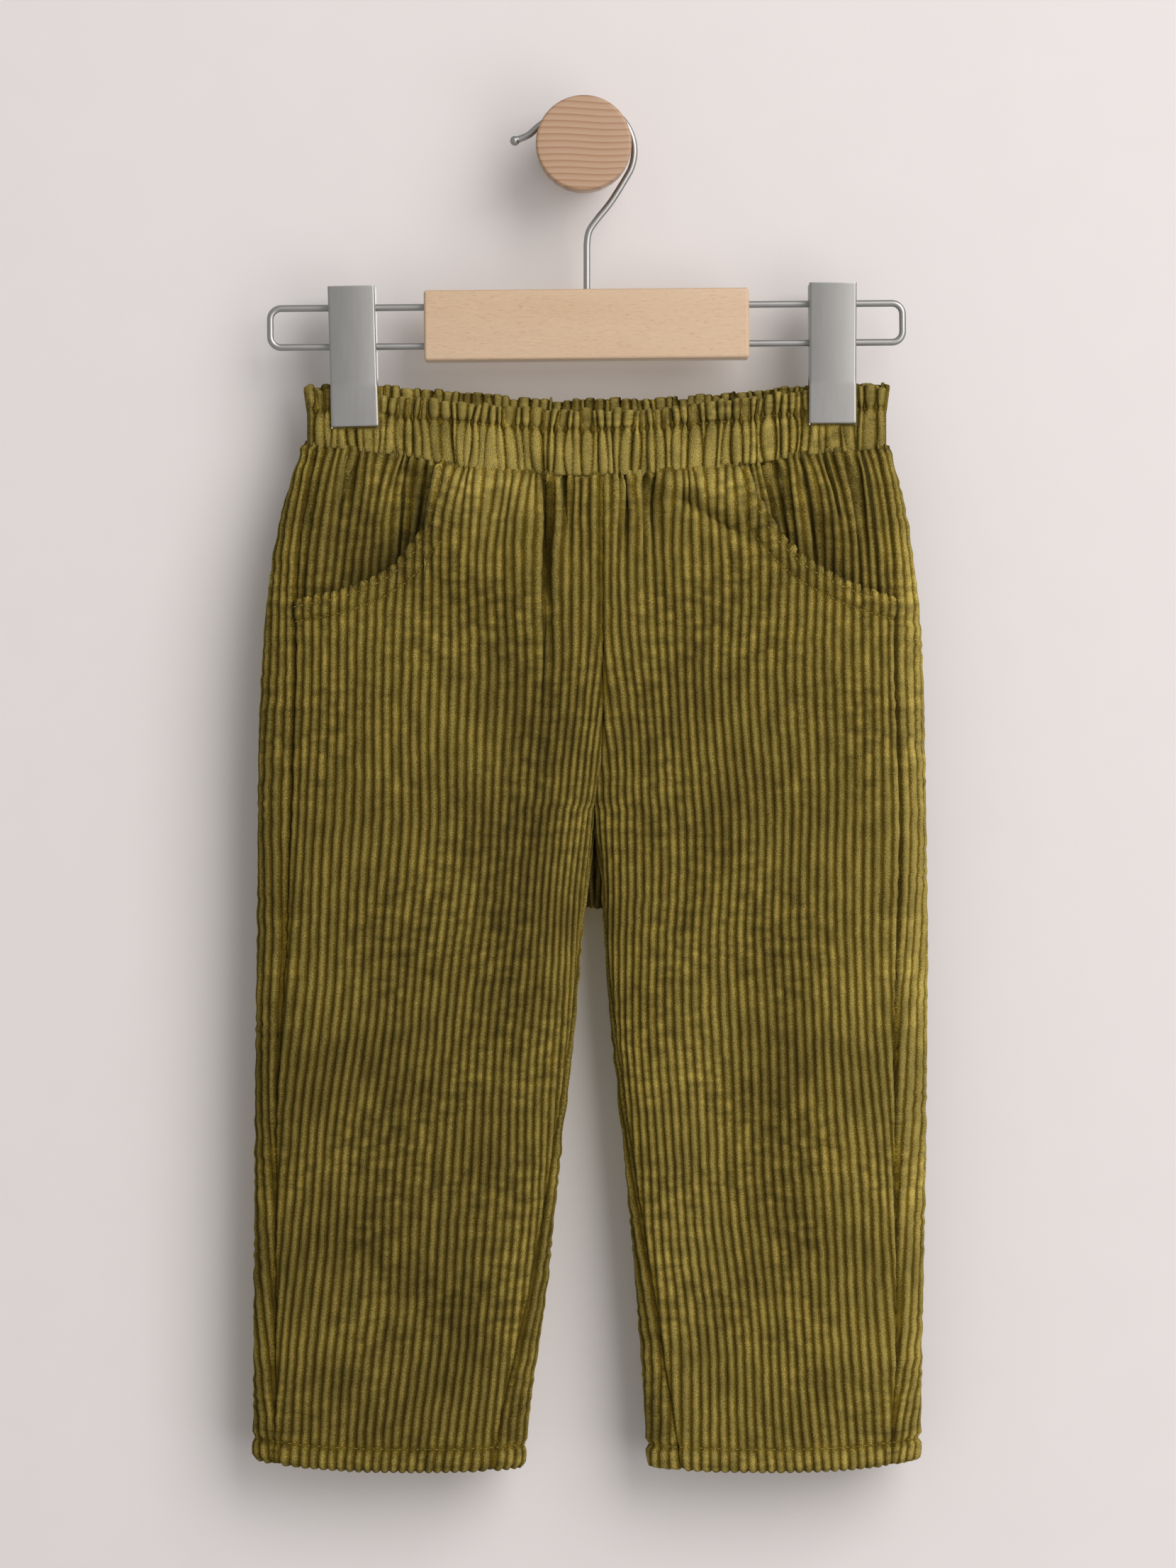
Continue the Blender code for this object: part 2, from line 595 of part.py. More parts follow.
def facing_rows(side):
    full_width = front_hip_width(side)
    skin, lining = [], []
    for level in FACING_LEVELS:
        outline, start, seam = front_outline(side, level)
        scale = gather(level, seam - start, full_width)
        tapered = (FACING_TAPER_LEVEL - level) / (FACING_TAPER_LEVEL - FACING_BOTTOM)
        under = FACING_REACH + FACING_TAPER * float(smooth_step(tapered))
        front = outline.theta <= pi
        inner = float(np.interp(under, outline.outer[front, 0], outline.length[front]))
        near = (SEAM_GAP / 2 + FACING_SEAM_SETBACK * (level < HIP_LEVEL)) * scale
        far = (seam - inner) * scale
        for rows, keys, heights, wall in (
                (skin, *wale_keys(near, far), 0.0),
                (lining, plain_keys(near, far), 0.0, FACING_WALL)):
            face = place(side, level, outline, seam - keys / scale, 0.0)
            recess = facing_recess(side, face)
            raised = heights * (1.0 - recess / FACING_RECESS)
            points = place(side, level, outline, seam - keys / scale,
                           (recess + wall) / CORD_WALL, raised)
            rows.append(Row(-level, keys, points))
    return skin, lining


# ---------------------------------------------------------------- waistband
BandRow = namedtuple("BandRow", "share wave swell")
BAND_ROWS = [                 # share: 0 top edge, 1 stitch line, 2 waist seam
    BandRow(0.0, 1.0, 0.5), BandRow(0.55, 0.9, 0.3), BandRow(1.0, 0.35, -0.4),
    BandRow(1.35, 0.8, 0.5), BandRow(2.0, 0.5, 0.0),
]


def clip_free(x):
    """1 away from the clips, 0 where a jaw presses the gathers flat."""
    free = np.ones_like(x)
    for clip in CLIPS:
        beside = np.abs(x - clip.x) - CLIP_WIDTH / 2 - CLIP_PRESS_MARGIN
        free = free * smooth_step(beside / CLIP_PRESS_FADE)
    return free


def band_height(face, share, x):
    top, stitch, seam = (read(BAND, "x", face + name, x) for name in ("_top", "_stitch", "_seam"))
    return np.where(share <= 1, top + (stitch - top) * share,
                    stitch + (seam - stitch) * (share - 1))


def band_rows(face, facing):
    """Rows of one half of the waistband, from the left end to the right end."""
    skin, lining = [], []
    lobe = np.array([0.0, 1 / 3, 2 / 3])        # valley and the two shoulders of a gather
    waves = (np.arange(FRILL_WAVES)[:, None] + lobe[None, :]).ravel() / FRILL_WAVES
    waves = np.append(waves, 1.0)
    valley = np.tile([0.0, 1.0, 1.0], FRILL_WAVES)
    valley = np.append(valley, 0.0)
    unevenness = 1.0 + FRILL_UNEVENNESS * np.sin(waves * 61.0) * np.sin(waves * 23.0)
    plain = np.linspace(0.0, 1.0, 25)
    for row in BAND_ROWS:
        for rows, keys, wave, wall in ((skin, waves, valley * unevenness, 0.0),
                                       (lining, plain, np.zeros(len(plain)), BAND_WALL)):
            evenly = 2 * keys - 1
            reach = evenly + BAND_CROWDING * (np.sin(pi * evenly / 2) - evenly)
            x = BAND_CENTRE + (BAND_HALF_WIDTH - wall) * reach
            depth = band_half_depth(BAND_CENTRE + BAND_HALF_WIDTH * reach)
            near_end = smooth_step((1 - np.abs(reach)) * BAND_HALF_WIDTH / BAND_END_FADE)
            swell = (row.swell + FRILL_HEIGHT * row.wave * wave) * clip_free(x) * near_end
            if wall:
                swell = np.minimum(row.swell, 0.0) * clip_free(x) * near_end
            depth = np.maximum(depth - wall + swell, LEAST_DEPTH)
            z = band_height(face, row.share, x)
            if row.share == 0:
                z = z + FRILL_SCALLOP * wave * near_end
            y = HANG_Y + facing * depth
            rows.append(Row(row.share, keys, np.stack([x, y, z], axis=1)))
    return skin, lining


# ---------------------------------------------------------------- peg, hook and hanger
def turned(name, profile, look, collection, steps=36):
    """Round body about its local Z, from a profile that runs down its outer side."""
    mesh = bmesh.new()
    verts = [mesh.verts.new((radius * MM, 0, height * MM)) for radius, height in profile]
    for above, below in zip(verts, verts[1:]):
        mesh.edges.new((above, below))
    made = add_mesh(name, mesh, look, collection)
    screw = made.modifiers.new("turn", "SCREW")
    screw.steps = steps
    screw.render_steps = steps
    screw.use_merge_vertices = True
    screw.merge_threshold = 1e-5
    screw.use_normal_calculate = True
    return made


def rounded_corner(radius_at, height_at, rounding, start, segments=3):
    """Quarter circle of a turned profile, from the angle start clockwise, about its centre."""
    angles = [radians(start - 90 * i / segments) for i in range(segments + 1)]
    return [(radius_at + rounding * cos(a), height_at + rounding * sin(a)) for a in angles]


def wall_peg(look, collection):
    rim = PEG_FACE_RADIUS - PEG_EDGE
    profile = [(0.0, PEG_LENGTH)]
    profile += rounded_corner(rim, PEG_LENGTH - PEG_EDGE, PEG_EDGE, 90)
    profile += rounded_corner(rim, PEG_NECK_LENGTH + PEG_EDGE, PEG_EDGE, 0)
    profile += [(PEG_NECK_RADIUS, PEG_NECK_LENGTH), (PEG_NECK_RADIUS, 0.0), (0.0, 0.0)]
    peg = turned("wall_peg", profile, look, collection)
    peg.rotation_euler = (pi / 2, 0, 0)
    return peg


def smooth_path(points, steps):
    """Catmull-Rom curve through points chosen by hand."""
    ghost = [2 * points[0] - points[1]] + points + [2 * points[-1] - points[-2]]
    path = []
    for i in range(1, len(ghost) - 2):
        p0, p1, p2, p3 = ghost[i - 1:i + 3]
        for step in range(steps):
            t = step / steps
            path.append(0.5 * ((2 * p1) + (p2 - p0) * t + (2 * p0 - 5 * p1 + 4 * p2 - p3) * t ** 2
                               + (3 * p1 - p0 - 3 * p2 + p3) * t ** 3))
    path.append(points[-1])
    return path


def wire(name, points, look, collection, cyclic=False, radii=None):
    data = bpy.data.curves.new(name, "CURVE")
    data.dimensions = "3D"
    data.bevel_depth = WIRE_RADIUS * MM
    data.bevel_resolution = 2
    data.use_fill_caps = not cyclic
    spline = data.splines.new("POLY")
    spline.points.add(len(points) - 1)
    for i, (control, point) in enumerate(zip(spline.points, points)):
        control.co = (*(Vector(point) * MM), 1.0)
        if radii:
            control.radius = radii[i]
    spline.use_cyclic_u = cyclic
    return add_object(name, data, look, collection)


HOOK_ARC_CENTRE = (1.3, -1.9)
HOOK_TIP = [(-33.4, 2.9), (-32.6, 3.1), (-31.2, 3.4), (-30.0, 3.6), (-25.4, 5.6), (-20.8, 9.6)]
HOOK_SHANK = [(12.6, -25.4), (6.2, -33.4), (2.7, -38.6), (1.6, -44.0), (1.5, -50.0)]
HOOK_TIP_SWELL = [0.7, 1.4, 1.4]      # wire radius over the first three points


def hanger_hook(look, collection):
    arc = []
    for degrees in range(130, -50, -15):      # over the peg, from its left to its lower right
        angle = radians(degrees)
        arc.append((HOOK_ARC_CENTRE[0] + HOOK_ARC_RADIUS * cos(angle),
                    HOOK_ARC_CENTRE[1] + HOOK_ARC_RADIUS * sin(angle)))
    bar_top = BAR_CENTRE[2] + BAR_SIZE[2] / 2
    ball = len(HOOK_TIP_SWELL)
    route = [Vector((x, HANG_Y, z)) for x, z in HOOK_TIP[ball:] + arc + HOOK_SHANK]
    path = smooth_path(route, 2)
    tip = [Vector((x, HANG_Y, z)) for x, z in HOOK_TIP[:ball]]
    end = [Vector((HOOK_SHANK[-1][0], HANG_Y, bar_top + SEAM_GAP))]
    points = tip + path + end
    radii = HOOK_TIP_SWELL + [1.0] * (len(points) - len(HOOK_TIP_SWELL))
    return wire("hanger_hook", points, look, collection, radii=radii)


def rounded_loop(half_length, half_height, corner, steps=4):
    points = []
    for start, sx, sz in ((0, 1, 1), (90, -1, 1), (180, -1, -1), (270, 1, -1)):
        for i in range(steps + 1):
            angle = radians(start + 90 * i / steps)
            points.append((sx * (half_length - corner) + corner * cos(angle), 0.0,
                           sz * (half_height - corner) + corner * sin(angle)))
    return points


def wood_bar(look, collection, cutters):
    mesh = bmesh.new()
    bmesh.ops.create_cube(mesh, size=1.0)
    bmesh.ops.scale(mesh, verts=mesh.verts, vec=Vector(BAR_SIZE) * MM)
    bar = add_mesh("hanger_bar", mesh, look, collection)
    soften = bar.modifiers.new("soft edges", "BEVEL")
    soften.width = BAR_EDGE * MM
    soften.segments = 3
    for place_z in (WIRE_SPREAD, -WIRE_SPREAD):
        bore(bar, "bar_bore", place_z, 1.1 * BAR_SIZE[0], cutters)
    return bar


def bore(target, name, height, length, cutters, tilt=0.0):
    """Hole along X for a wire, in the target's own coordinates."""
    bpy.ops.mesh.primitive_cylinder_add(vertices=16, radius=BORE_RADIUS * MM, depth=length * MM)
    cutter = bpy.context.object
    cutter.name = name
    cutter.rotation_euler = (0, pi / 2 + tilt, 0)
    cutter.location = Vector((0, 0, height)) * MM
    cutter.parent = target
    cutter.hide_render = True
    cutter.display_type = "WIRE"
    for old in list(cutter.users_collection):
        old.objects.unlink(cutter)
    cutters.objects.link(cutter)
    cut = target.modifiers.new(name, "BOOLEAN")
    cut.operation = "DIFFERENCE"
    cut.object = cutter
    return cutter


def jaw_inner(height):
    """Distance of a jaw's inner face from the hanging plane, at a height above the clip's foot."""
    return CLIP_BITE + CLIP_SPREAD * height / CLIP_LENGTH


# How far the flange reaches towards the wires (1 fully), from the top of the clip to its foot.
CLIP_FLANGE = ((CLIP_LENGTH, 1.0), (22.0, 1.0), (18.0, 0.12), (0.0, 0.12))
CORE_SPAN = (25.0, CLIP_LENGTH - 2.0)         # bottom and top of a core above the clip's foot


def clip_jaw(name, facing, look, collection):
    """Bent plate with a flange along each long edge, open towards the wires."""
    flange_back = WIRE_RADIUS + 0.4
    rows = []
    for height, flanged in CLIP_FLANGE:
        face = jaw_inner(height) + CLIP_PLATE
        flange = face - (face - flange_back) * flanged
        half = CLIP_WIDTH / 2
        rows.append([(-half, flange, height), (-half, face, height),
                     (half, face, height), (half, flange, height)])
    mesh = bmesh.new()
    grid = [[mesh.verts.new((x * MM, facing * y * MM, z * MM)) for x, y, z in row] for row in rows]
    for upper, lower in zip(grid, grid[1:]):
        for i in range(3):
            mesh.faces.new((upper[i], upper[i + 1], lower[i + 1], lower[i]))
    if facing > 0:
        bmesh.ops.reverse_faces(mesh, faces=mesh.faces)
    jaw = add_mesh(name, mesh, look, collection)
    plate = jaw.modifiers.new("plate", "SOLIDIFY")
    plate.thickness = CLIP_PLATE * MM
    plate.offset = -1.0
    plate.use_even_offset = True
    edges = jaw.modifiers.new("soft edges", "BEVEL")
    edges.width = 0.3 * MM
    edges.segments = 1
    return jaw


def clip_core(name, look, collection):
    """Tapered block between the jaws."""
    half_width = CLIP_WIDTH / 2 - CLIP_PLATE - SEAM_GAP
    mesh = bmesh.new()
    bmesh.ops.create_cube(mesh, size=2.0)
    for vert in mesh.verts:
        height = CORE_SPAN[int(vert.co.z > 0)]
        depth = jaw_inner(height) - SEAM_GAP
        vert.co = Vector((np.sign(vert.co.x) * half_width, np.sign(vert.co.y) * depth, height)) * MM
    return add_mesh(name, mesh, look, collection)


def hanger(steel, wood, collection, cutters):
    frame = bpy.data.objects.new("hanger_frame", None)
    frame.location = Vector(BAR_CENTRE) * MM
    frame.rotation_euler = (0, -radians(HANGER_ROLL), 0)
    collection.objects.link(frame)
    bar = wood_bar(wood, collection, cutters)
    bar.parent = frame
    loop = rounded_loop(FRAME_HALF_LENGTH, WIRE_SPREAD, FRAME_CORNER)
    wires = wire("wire_frame", loop, steel, collection, cyclic=True)
    wires.parent = frame
    for clip in CLIPS:
        holder = bpy.data.objects.new(clip.name, None)
        holder.location = Vector((clip.x, HANG_Y, clip.foot)) * MM
        holder.rotation_euler = (0, radians(clip.roll), 0)
        collection.objects.link(holder)
        clip_jaw(clip.name + "_front", -1, steel, collection).parent = holder
        clip_jaw(clip.name + "_back", 1, steel, collection).parent = holder
        core = clip_core(clip.name + "_core", steel, collection)
        core.parent = holder
        for spread in (WIRE_SPREAD, -WIRE_SPREAD):
            wire_height = BAR_CENTRE[2] + spread + (clip.x - BAR_CENTRE[0]) * radians(HANGER_ROLL)
            bore(core, clip.name + "_bore", wire_height - clip.foot, 2 * CLIP_WIDTH, cutters,
                 tilt=-radians(HANGER_ROLL + clip.roll))


# ---------------------------------------------------------------- the whole thing
def main():
    clear_scene()
    parts = bpy.data.collections.new("corduroy_trousers")
    cutters = bpy.data.collections.new("cutters")
    for group in (parts, cutters):
        bpy.context.scene.collection.children.link(group)
    cord = material("olive jumbo corduroy", "70642a", 0.9)
    band = material("olive gathered corduroy", "6c6028", 0.9)
    pine = material("pine", "d9b48c", 0.6)
    beech = material("beech", "dcbc98", 0.55)
    steel = material("satin steel", "a9aaa6", 0.38, metallic=1.0)

    for side in SIDES:
        add_mesh("front_" + side.name, wall_mesh(*front_rows(side)), cord, parts)
        add_mesh("back_" + side.name, wall_mesh(*back_rows(side)), cord, parts)
        add_mesh("pocket_facing_" + side.name, wall_mesh(*facing_rows(side)), cord, parts)
    add_mesh("waistband_front", wall_mesh(*band_rows("front", -1)), band, parts)
    add_mesh("waistband_back", wall_mesh(*band_rows("back", 1)), band, parts)
    wall_peg(pine, parts)
    hanger_hook(steel, parts)
    hanger(steel, beech, parts, cutters)


main()
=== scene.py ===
# %% [markdown]
# # Corduroy trousers on a clip hanger
#
# A child's pull-on trousers in wide corduroy hang by their waistband from a clip hanger, and the
# hanger hangs on a round wooden wall peg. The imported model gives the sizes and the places. This
# script dresses it: cloth with raised ribs, gathers, seams and stitches, and real wood and steel.
#
# Lengths below are millimetres and become metres when a mesh is made. +Z is up, the wall is the
# plane y = 0 and the trousers face -Y. Left and right are the viewer's.

# %% Load the frame
from collections import namedtuple
from math import cos, pi, radians, sin, tau

import bmesh
import bpy
import numpy as np
from mathutils import Matrix, Vector
from mathutils.bvhtree import BVHTree


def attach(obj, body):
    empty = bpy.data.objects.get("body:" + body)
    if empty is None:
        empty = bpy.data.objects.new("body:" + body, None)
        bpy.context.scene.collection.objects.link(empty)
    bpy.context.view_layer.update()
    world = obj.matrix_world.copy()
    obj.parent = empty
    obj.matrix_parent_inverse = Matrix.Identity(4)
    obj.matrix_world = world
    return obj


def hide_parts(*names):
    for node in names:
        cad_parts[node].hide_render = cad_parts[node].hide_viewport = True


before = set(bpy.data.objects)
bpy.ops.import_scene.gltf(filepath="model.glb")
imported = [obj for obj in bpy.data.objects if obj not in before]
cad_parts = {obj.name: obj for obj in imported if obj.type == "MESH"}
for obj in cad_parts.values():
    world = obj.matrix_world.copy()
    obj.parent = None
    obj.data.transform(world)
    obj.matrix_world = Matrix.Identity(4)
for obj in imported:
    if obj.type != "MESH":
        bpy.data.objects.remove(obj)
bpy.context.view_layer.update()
MM = 0.001
print("packed nodes:", ", ".join(sorted(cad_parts)))

# %% [markdown]
# ## Helpers
#
# Colours are written as the hex values of a colour picker, while shaders count in linear light, so
# one function turns the first into the second. Node trees could be drawn by hand in an editor, but
# a script that adds, sets and links each node in one call can be read and run again.

# %% Colour and node helpers
def linear(hex_colour):
    """An sRGB hex colour as the linear RGBA that a shader socket takes."""
    channels = [int(hex_colour[i:i + 2], 16) / 255 for i in (0, 2, 4)]
    return (*[c / 12.92 if c <= 0.04045 else ((c + 0.055) / 1.055) ** 2.4 for c in channels], 1.0)


def add_node(tree, kind, inputs=None, **settings):
    """Adds a node; a kind without "Node" is a shader node. Inputs are plain values, or outputs of
    other nodes to link."""
    node = tree.nodes.new(kind if "Node" in kind else "ShaderNode" + kind)
    for name, value in settings.items():
        setattr(node, name, value)
    for socket, value in (inputs or {}).items():
        if isinstance(value, bpy.types.NodeSocket):
            tree.links.new(value, node.inputs[socket])
        else:
            node.inputs[socket].default_value = value
    return node


def output(tree, kind, inputs=None, **settings):
    """Adds a node and gives its first output."""
    return add_node(tree, kind, inputs, **settings).outputs[0]


def calc(tree, operation, *values):
    """A Math node on plain values or outputs."""
    return output(tree, "Math", dict(enumerate(values)), operation=operation)


print("olive in linear light:", [round(channel, 3) for channel in linear("86783f")[:3]])

# %% Helpers for shapes and objects
def smooth_step(value):
    value = np.clip(value, 0.0, 1.0)
    return value * value * (3.0 - 2.0 * value)


def groove(distance, width):
    """1 at a line, fading to 0 over about its width."""
    return np.exp(-(distance / width) ** 2)


def lengths_along(line):
    """Distance from the first point of a line to each of its points."""
    return np.append(0.0, np.cumsum(np.hypot(*np.diff(line, axis=0).T)))


def add_object(name, data):
    made = bpy.data.objects.new(name, data)
    bpy.context.scene.collection.objects.link(made)
    return made


def settled(piece):
    """Keeps what the modifiers of a piece make as its plain mesh."""
    depsgraph = bpy.context.evaluated_depsgraph_get()
    made = bpy.data.meshes.new_from_object(piece.evaluated_get(depsgraph), depsgraph=depsgraph)
    piece.modifiers.clear()
    piece.data = made
    return piece


print("across a groove:", groove(np.arange(4.0), 2.0).round(2))

# %% [markdown]
# ## The form of the cloth
#
# Trousers that hang empty are almost flat, yet each leg is still a tube. The cloth is described as
# the pattern cutter sees it: level by level, a ring runs round half of the trousers, and each panel
# takes its share of the ring between two seams. Sculpting would give the outline too, but not
# pattern pieces with ribs from waist to hem. The tables hold the same sizes as the solids, so the
# cloth lies exactly where the model says.

# %% Sizes of the trousers
CORD_WALL = 1.6  # one layer of cord, under its ribs
WALE_PITCH = 4.25  # a wale is one rib of the cord: from one to the next
HANG_Y = -28.0  # plane in which the hanger and the trousers hang
BODY_ROUNDNESS = 3.0  # exponent of the rounded outline of hip and leg
HEM_HEIGHT = 10.0  # turned up inside
CROTCH_FRONT = -306.0
CENTRE_BACK_X = 5.0
BACK_OVERLAP = 0.7  # the two backs pass each other by this much at their seam
FRONT_CLOSING = -270.0  # from here down to the crotch a leg turns into a tube
WAIST_LEVEL = -139.0
HIP_LEVEL = -182.0
WAIST_BLEND = 4.0  # how fast the flat waist gives way to the rounded hip
POCKET_END = -211.0
FACING_BOTTOM = -224.0
HEM_LEVEL = -608.0
HEM_CURVE_START = -560.0
HEM_SAG, HEM_OUTER_LIFT, HEM_INNER_LIFT = -3.3, 5.6, 2.0
FOLD_START = 3.5  # folds begin over this distance below the waist seam
FOLD_EDGE_DEPTH = 12.0  # and fade where the cloth lies nearer to the hanging plane
BAND_WALL = 3.0  # doubled cord and elastic
BAND_CENTRE = 6.0
BAND_HALF_WIDTH = 135.5
LEAST_DEPTH = 0.25
Side = namedtuple("Side", "name sign")
SIDES = (Side("left", -1), Side("right", 1))
print("from waist to hem", WAIST_LEVEL - HEM_LEVEL, "mm, in ribs of", WALE_PITCH, "mm")

# %% Cross-sections of the trousers
Section = namedtuple("Section", "z left_outer left_seam left_inner"
                     " right_inner right_seam right_outer half_depth")
SECTIONS = [Section(*row) for row in (
    (-139, -130.5, -124, 8.7, 8.7, 135.5, 141.5, 10.5),
    (-150, -133.5, -126.5, 8.7, 8.7, 138, 144.3, 12),
    (-165, -137.3, -129, 8.7, 8.7, 140.3, 147.3, 14),
    (-182, -141, -131.3, 8.7, 8.7, 142.3, 150, 15.5),
    (-211, -145.3, -133.2, 8.7, 8.7, 143.8, 153.6, 16.6),
    (-240, -147.5, -133.2, 8.7, 8.7, 143.8, 155.5, 17),
    (-276, -149, -134.3, 8.4, 8.4, 145.1, 156.5, 17),
    (-306, -149.3, -135.2, 5, 5, 146.3, 157, 16.6),
    (-335, -149.5, -136.2, 1.7, 8.9, 146, 157.4, 16),
    (-365, -149.8, -137.2, -2, 10.8, 144.9, 157.8, 15.3),
    (-404, -150.3, -139.9, -5.4, 14, 143.8, 157.6, 14.8),
    (-440, -150.7, -141.9, -9.2, 17.5, 143.9, 157.2, 14.2),
    (-487, -151, -142.3, -14, 21.8, 144.2, 156.6, 13.4),
    (-527, -151.2, -142.6, -18.2, 25.3, 144.8, 155.8, 12.8),
    (-556, -151.4, -142.7, -22.3, 27.4, 145, 155.2, 12.4),
    (-581, -151.5, -142.8, -25.8, 29.2, 143.4, 154.9, 12.1),
    (-608, -151.6, -142.8, -28.4, 30.8, 141.8, 154.6, 11.8),
)]

# How far the inseam lies to the front of the leg's inner edge.
Inseam = namedtuple("Inseam", "z forward")
INSEAM = [Inseam(-306, 4.0), Inseam(-404, 4.5), Inseam(-460, 7.0),
          Inseam(-520, 11.0), Inseam(-570, 15.0), Inseam(-608, 19.0)]
print(len(SECTIONS), "sections from", SECTIONS[0].z, "to", SECTIONS[-1].z, "mm")

# %% Heights and depths of the waistband
Band = namedtuple("Band", "x front_top back_top front_stitch back_stitch front_seam back_seam")
BAND = [Band(*row) for row in (
    (-130, -111, -109.8, -121, -120, -138, -138),
    (-100, -113.5, -110.3, -123.5, -120.5, -141.5, -140.5),
    (-78, -116, -111.2, -125.5, -121.3, -144, -142.5),
    (-60, -118, -112.5, -127.2, -122.5, -148.4, -144),
    (-27, -121, -115, -130.3, -125, -151.6, -145.8),
    (5, -122.5, -116, -131.3, -126, -152.6, -146.5),
    (39, -120.5, -115, -129.6, -125, -150.9, -145.8),
    (69, -117.5, -113, -127, -123, -148.6, -144),
    (90, -114.2, -111, -124.2, -121, -144.8, -142.5),
    (119, -111, -109.5, -121.8, -119.8, -141.3, -141),
    (142, -109.5, -108.7, -120.5, -119, -140, -140),
)]

# Half the depth of the band from its middle (0) to its end (1), thin where a clip bites.
BandDepth = namedtuple("BandDepth", "reach half_depth")
BAND_DEPTH = [BandDepth(*row) for row in (
    (0, 10.5), (0.30, 10), (0.50, 8), (0.62, 5.2),
    (0.70, 3.6), (0.80, 3.4), (0.92, 3.5), (0.96, 3.6),
    (0.99, 2.2), (1, 0.25),
)]
print("the band is", round(BAND[5].front_top - BAND[5].front_seam, 1), "mm high")

# %% Pocket mouths
PocketEdge = namedtuple("PocketEdge", "left_x left_z right_x right_z")
POCKET_EDGE = [PocketEdge(*row) for row in (
    (-67, -146, 73.5, -146), (-69, -163, 77.5, -160),
    (-72.3, -176, 82.5, -168), (-76.9, -183, 87.7, -177),
    (-83.5, -191.5, 93.5, -184), (-92.3, -198.5, 101, -191),
    (-102.5, -203.5, 112, -198), (-115, -207.5, 125, -204),
    (-134, -211, 144.5, -210),
)]
print("a pocket mouth is", POCKET_EDGE[0].left_z - POCKET_EDGE[-1].left_z, "mm high")

# %% Folds
# A fold is a ridge (+) or trough (-) along a line from its upper to its lower end. Its profile is
# flat-topped with steep sides where the edge is 4, soft at 2 and a sharp crease near 1.
Fold = namedtuple("Fold", "x_top z_top x_low z_low spread height edge")
FRONT_FOLDS = [Fold(*row) for row in (
    (-45, -154, -47, -186, 20, 7, 4),  # left puff beside the pocket
    (-27, -172, -28, -222, 5.5, 3.4, 2.5),  # its full edge over the pleat
    (-17.2, -156, -17.4, -224, 1.6, -8, 2),  # deep pleat left of the placket
    (-17.5, -224, -19.5, -258, 2.2, -3.6, 1.7),
    (-12, -160, -12.5, -205, 2.4, 1.6, 2),
    (50, -149, 66, -155, 15.5, 6.6, 4),  # right puff
    (31, -164, 33, -220, 5, -2.2, 2),  # softer dip to its left
    (25.5, -154, 31, -176, 3, -4.6, 1.7),
    (36, -163, 48, -163, 2.2, -2.4, 1.6),  # crease under the right puff
    (46, -163, 82, -187, 2.3, -5.6, 1.6),
    (54, -175, 88, -199, 6, 2.6, 2),
    (-8.8, -146, -7.5, -182, 1.7, -6, 1.8),  # gathers between the puffs
    (-13, -146, -12.6, -182, 2.6, 2.4, 2),
    (9.5, -146, 8, -188, 5, 2.4, 2),
    (20, -146, 18.2, -186, 1.8, -6.4, 1.8),
    (25.5, -148, 24, -186, 3, 2.4, 2),
    (32, -150, 30, -180, 2.2, -6.8, 1.8),
    (-104, -139, -113.5, -172, 2.4, -7, 1.6),  # creases in the left facing
    (-98, -150, -104, -196, 4.5, 2.6, 2),
    (-118, -146, -122, -190, 5, 2.2, 2),
    (-82, -152, -86, -203, 2.2, -4.6, 1.6),
    (-92, -142, -95, -160, 1.8, -2.4, 1.5),
    (-127, -158, -130, -200, 2, -3.4, 1.5),
    (-72.5, -146, -76, -182, 2.6, -6, 1.8),
    (87.5, -147, 92, -180, 3, -7.5, 1.8),  # creases in the right facing
    (95, -150, 100, -186, 4, 2.4, 2),
    (101, -154, 108, -192, 2.2, -5, 1.6),
    (113, -142, 118, -170, 1.8, -2.4, 1.5),
    (114, -160, 119, -196, 4.5, 2.4, 2),
    (124, -150, 131, -192, 2.2, -5, 1.6),
    (-100, -235, -60, -300, 26, 1.8, 2),  # soft fullness of the thighs
    (100, -240, 66, -305, 26, 1.8, 2),
    (-26, -262, -34, -360, 12, -2.2, 2),  # hollow of the inner left thigh
    (42, -262, 44, -350, 12, -1.6, 2),
    (-132, -300, -110, -352, 8, -1.2, 2),
    (-60, -420, -85, -560, 18, -1.6, 2),  # slack of the lower legs
    (70, -430, 98, -560, 18, -1.6, 2),
    (-128, -470, -70, -520, 9, 1.3, 2),  # drag lines
    (-126, -505, -60, -548, 7, -1.1, 2),
    (-34, -520, -52, -606, 9, 1.4, 2),
    (128, -455, 84, -505, 9, 1.3, 2),
    (118, -505, 106, -600, 11, 1.2, 2),
)]
BACK_FOLDS = [Fold(*row) for row in (
    (-96, -150, -92, -205, 2.6, -3.4, 1.7),
    (-62, -152, -58, -226, 3, -4, 1.7),
    (-22, -154, -16, -200, 2.6, -3.2, 1.7),
    (36, -154, 31, -214, 3, -3.8, 1.7),
    (74, -152, 66, -222, 3, -4, 1.7),
    (108, -150, 104, -198, 2.6, -3.2, 1.7),
    (-78, -158, -76, -186, 9, 2.4, 3),
    (54, -158, 52, -186, 11, 2.6, 3),
    (-70, -190, -60, -285, 34, 2.2, 2),
    (78, -190, 68, -285, 34, 2.2, 2),
    (-30, -320, -95, -372, 7, -2.4, 2),  # drag lines below the seat
    (42, -322, 104, -370, 7, -2.4, 2),
    (-40, -345, -110, -400, 6, 1.4, 2),
    (50, -345, 116, -402, 6, 1.4, 2),
    (-64, -430, -96, -560, 18, -1.6, 2),
    (72, -430, 100, -560, 18, -1.6, 2),
)]
print(len(FRONT_FOLDS), "folds on the fronts and", len(BACK_FOLDS), "on the backs")

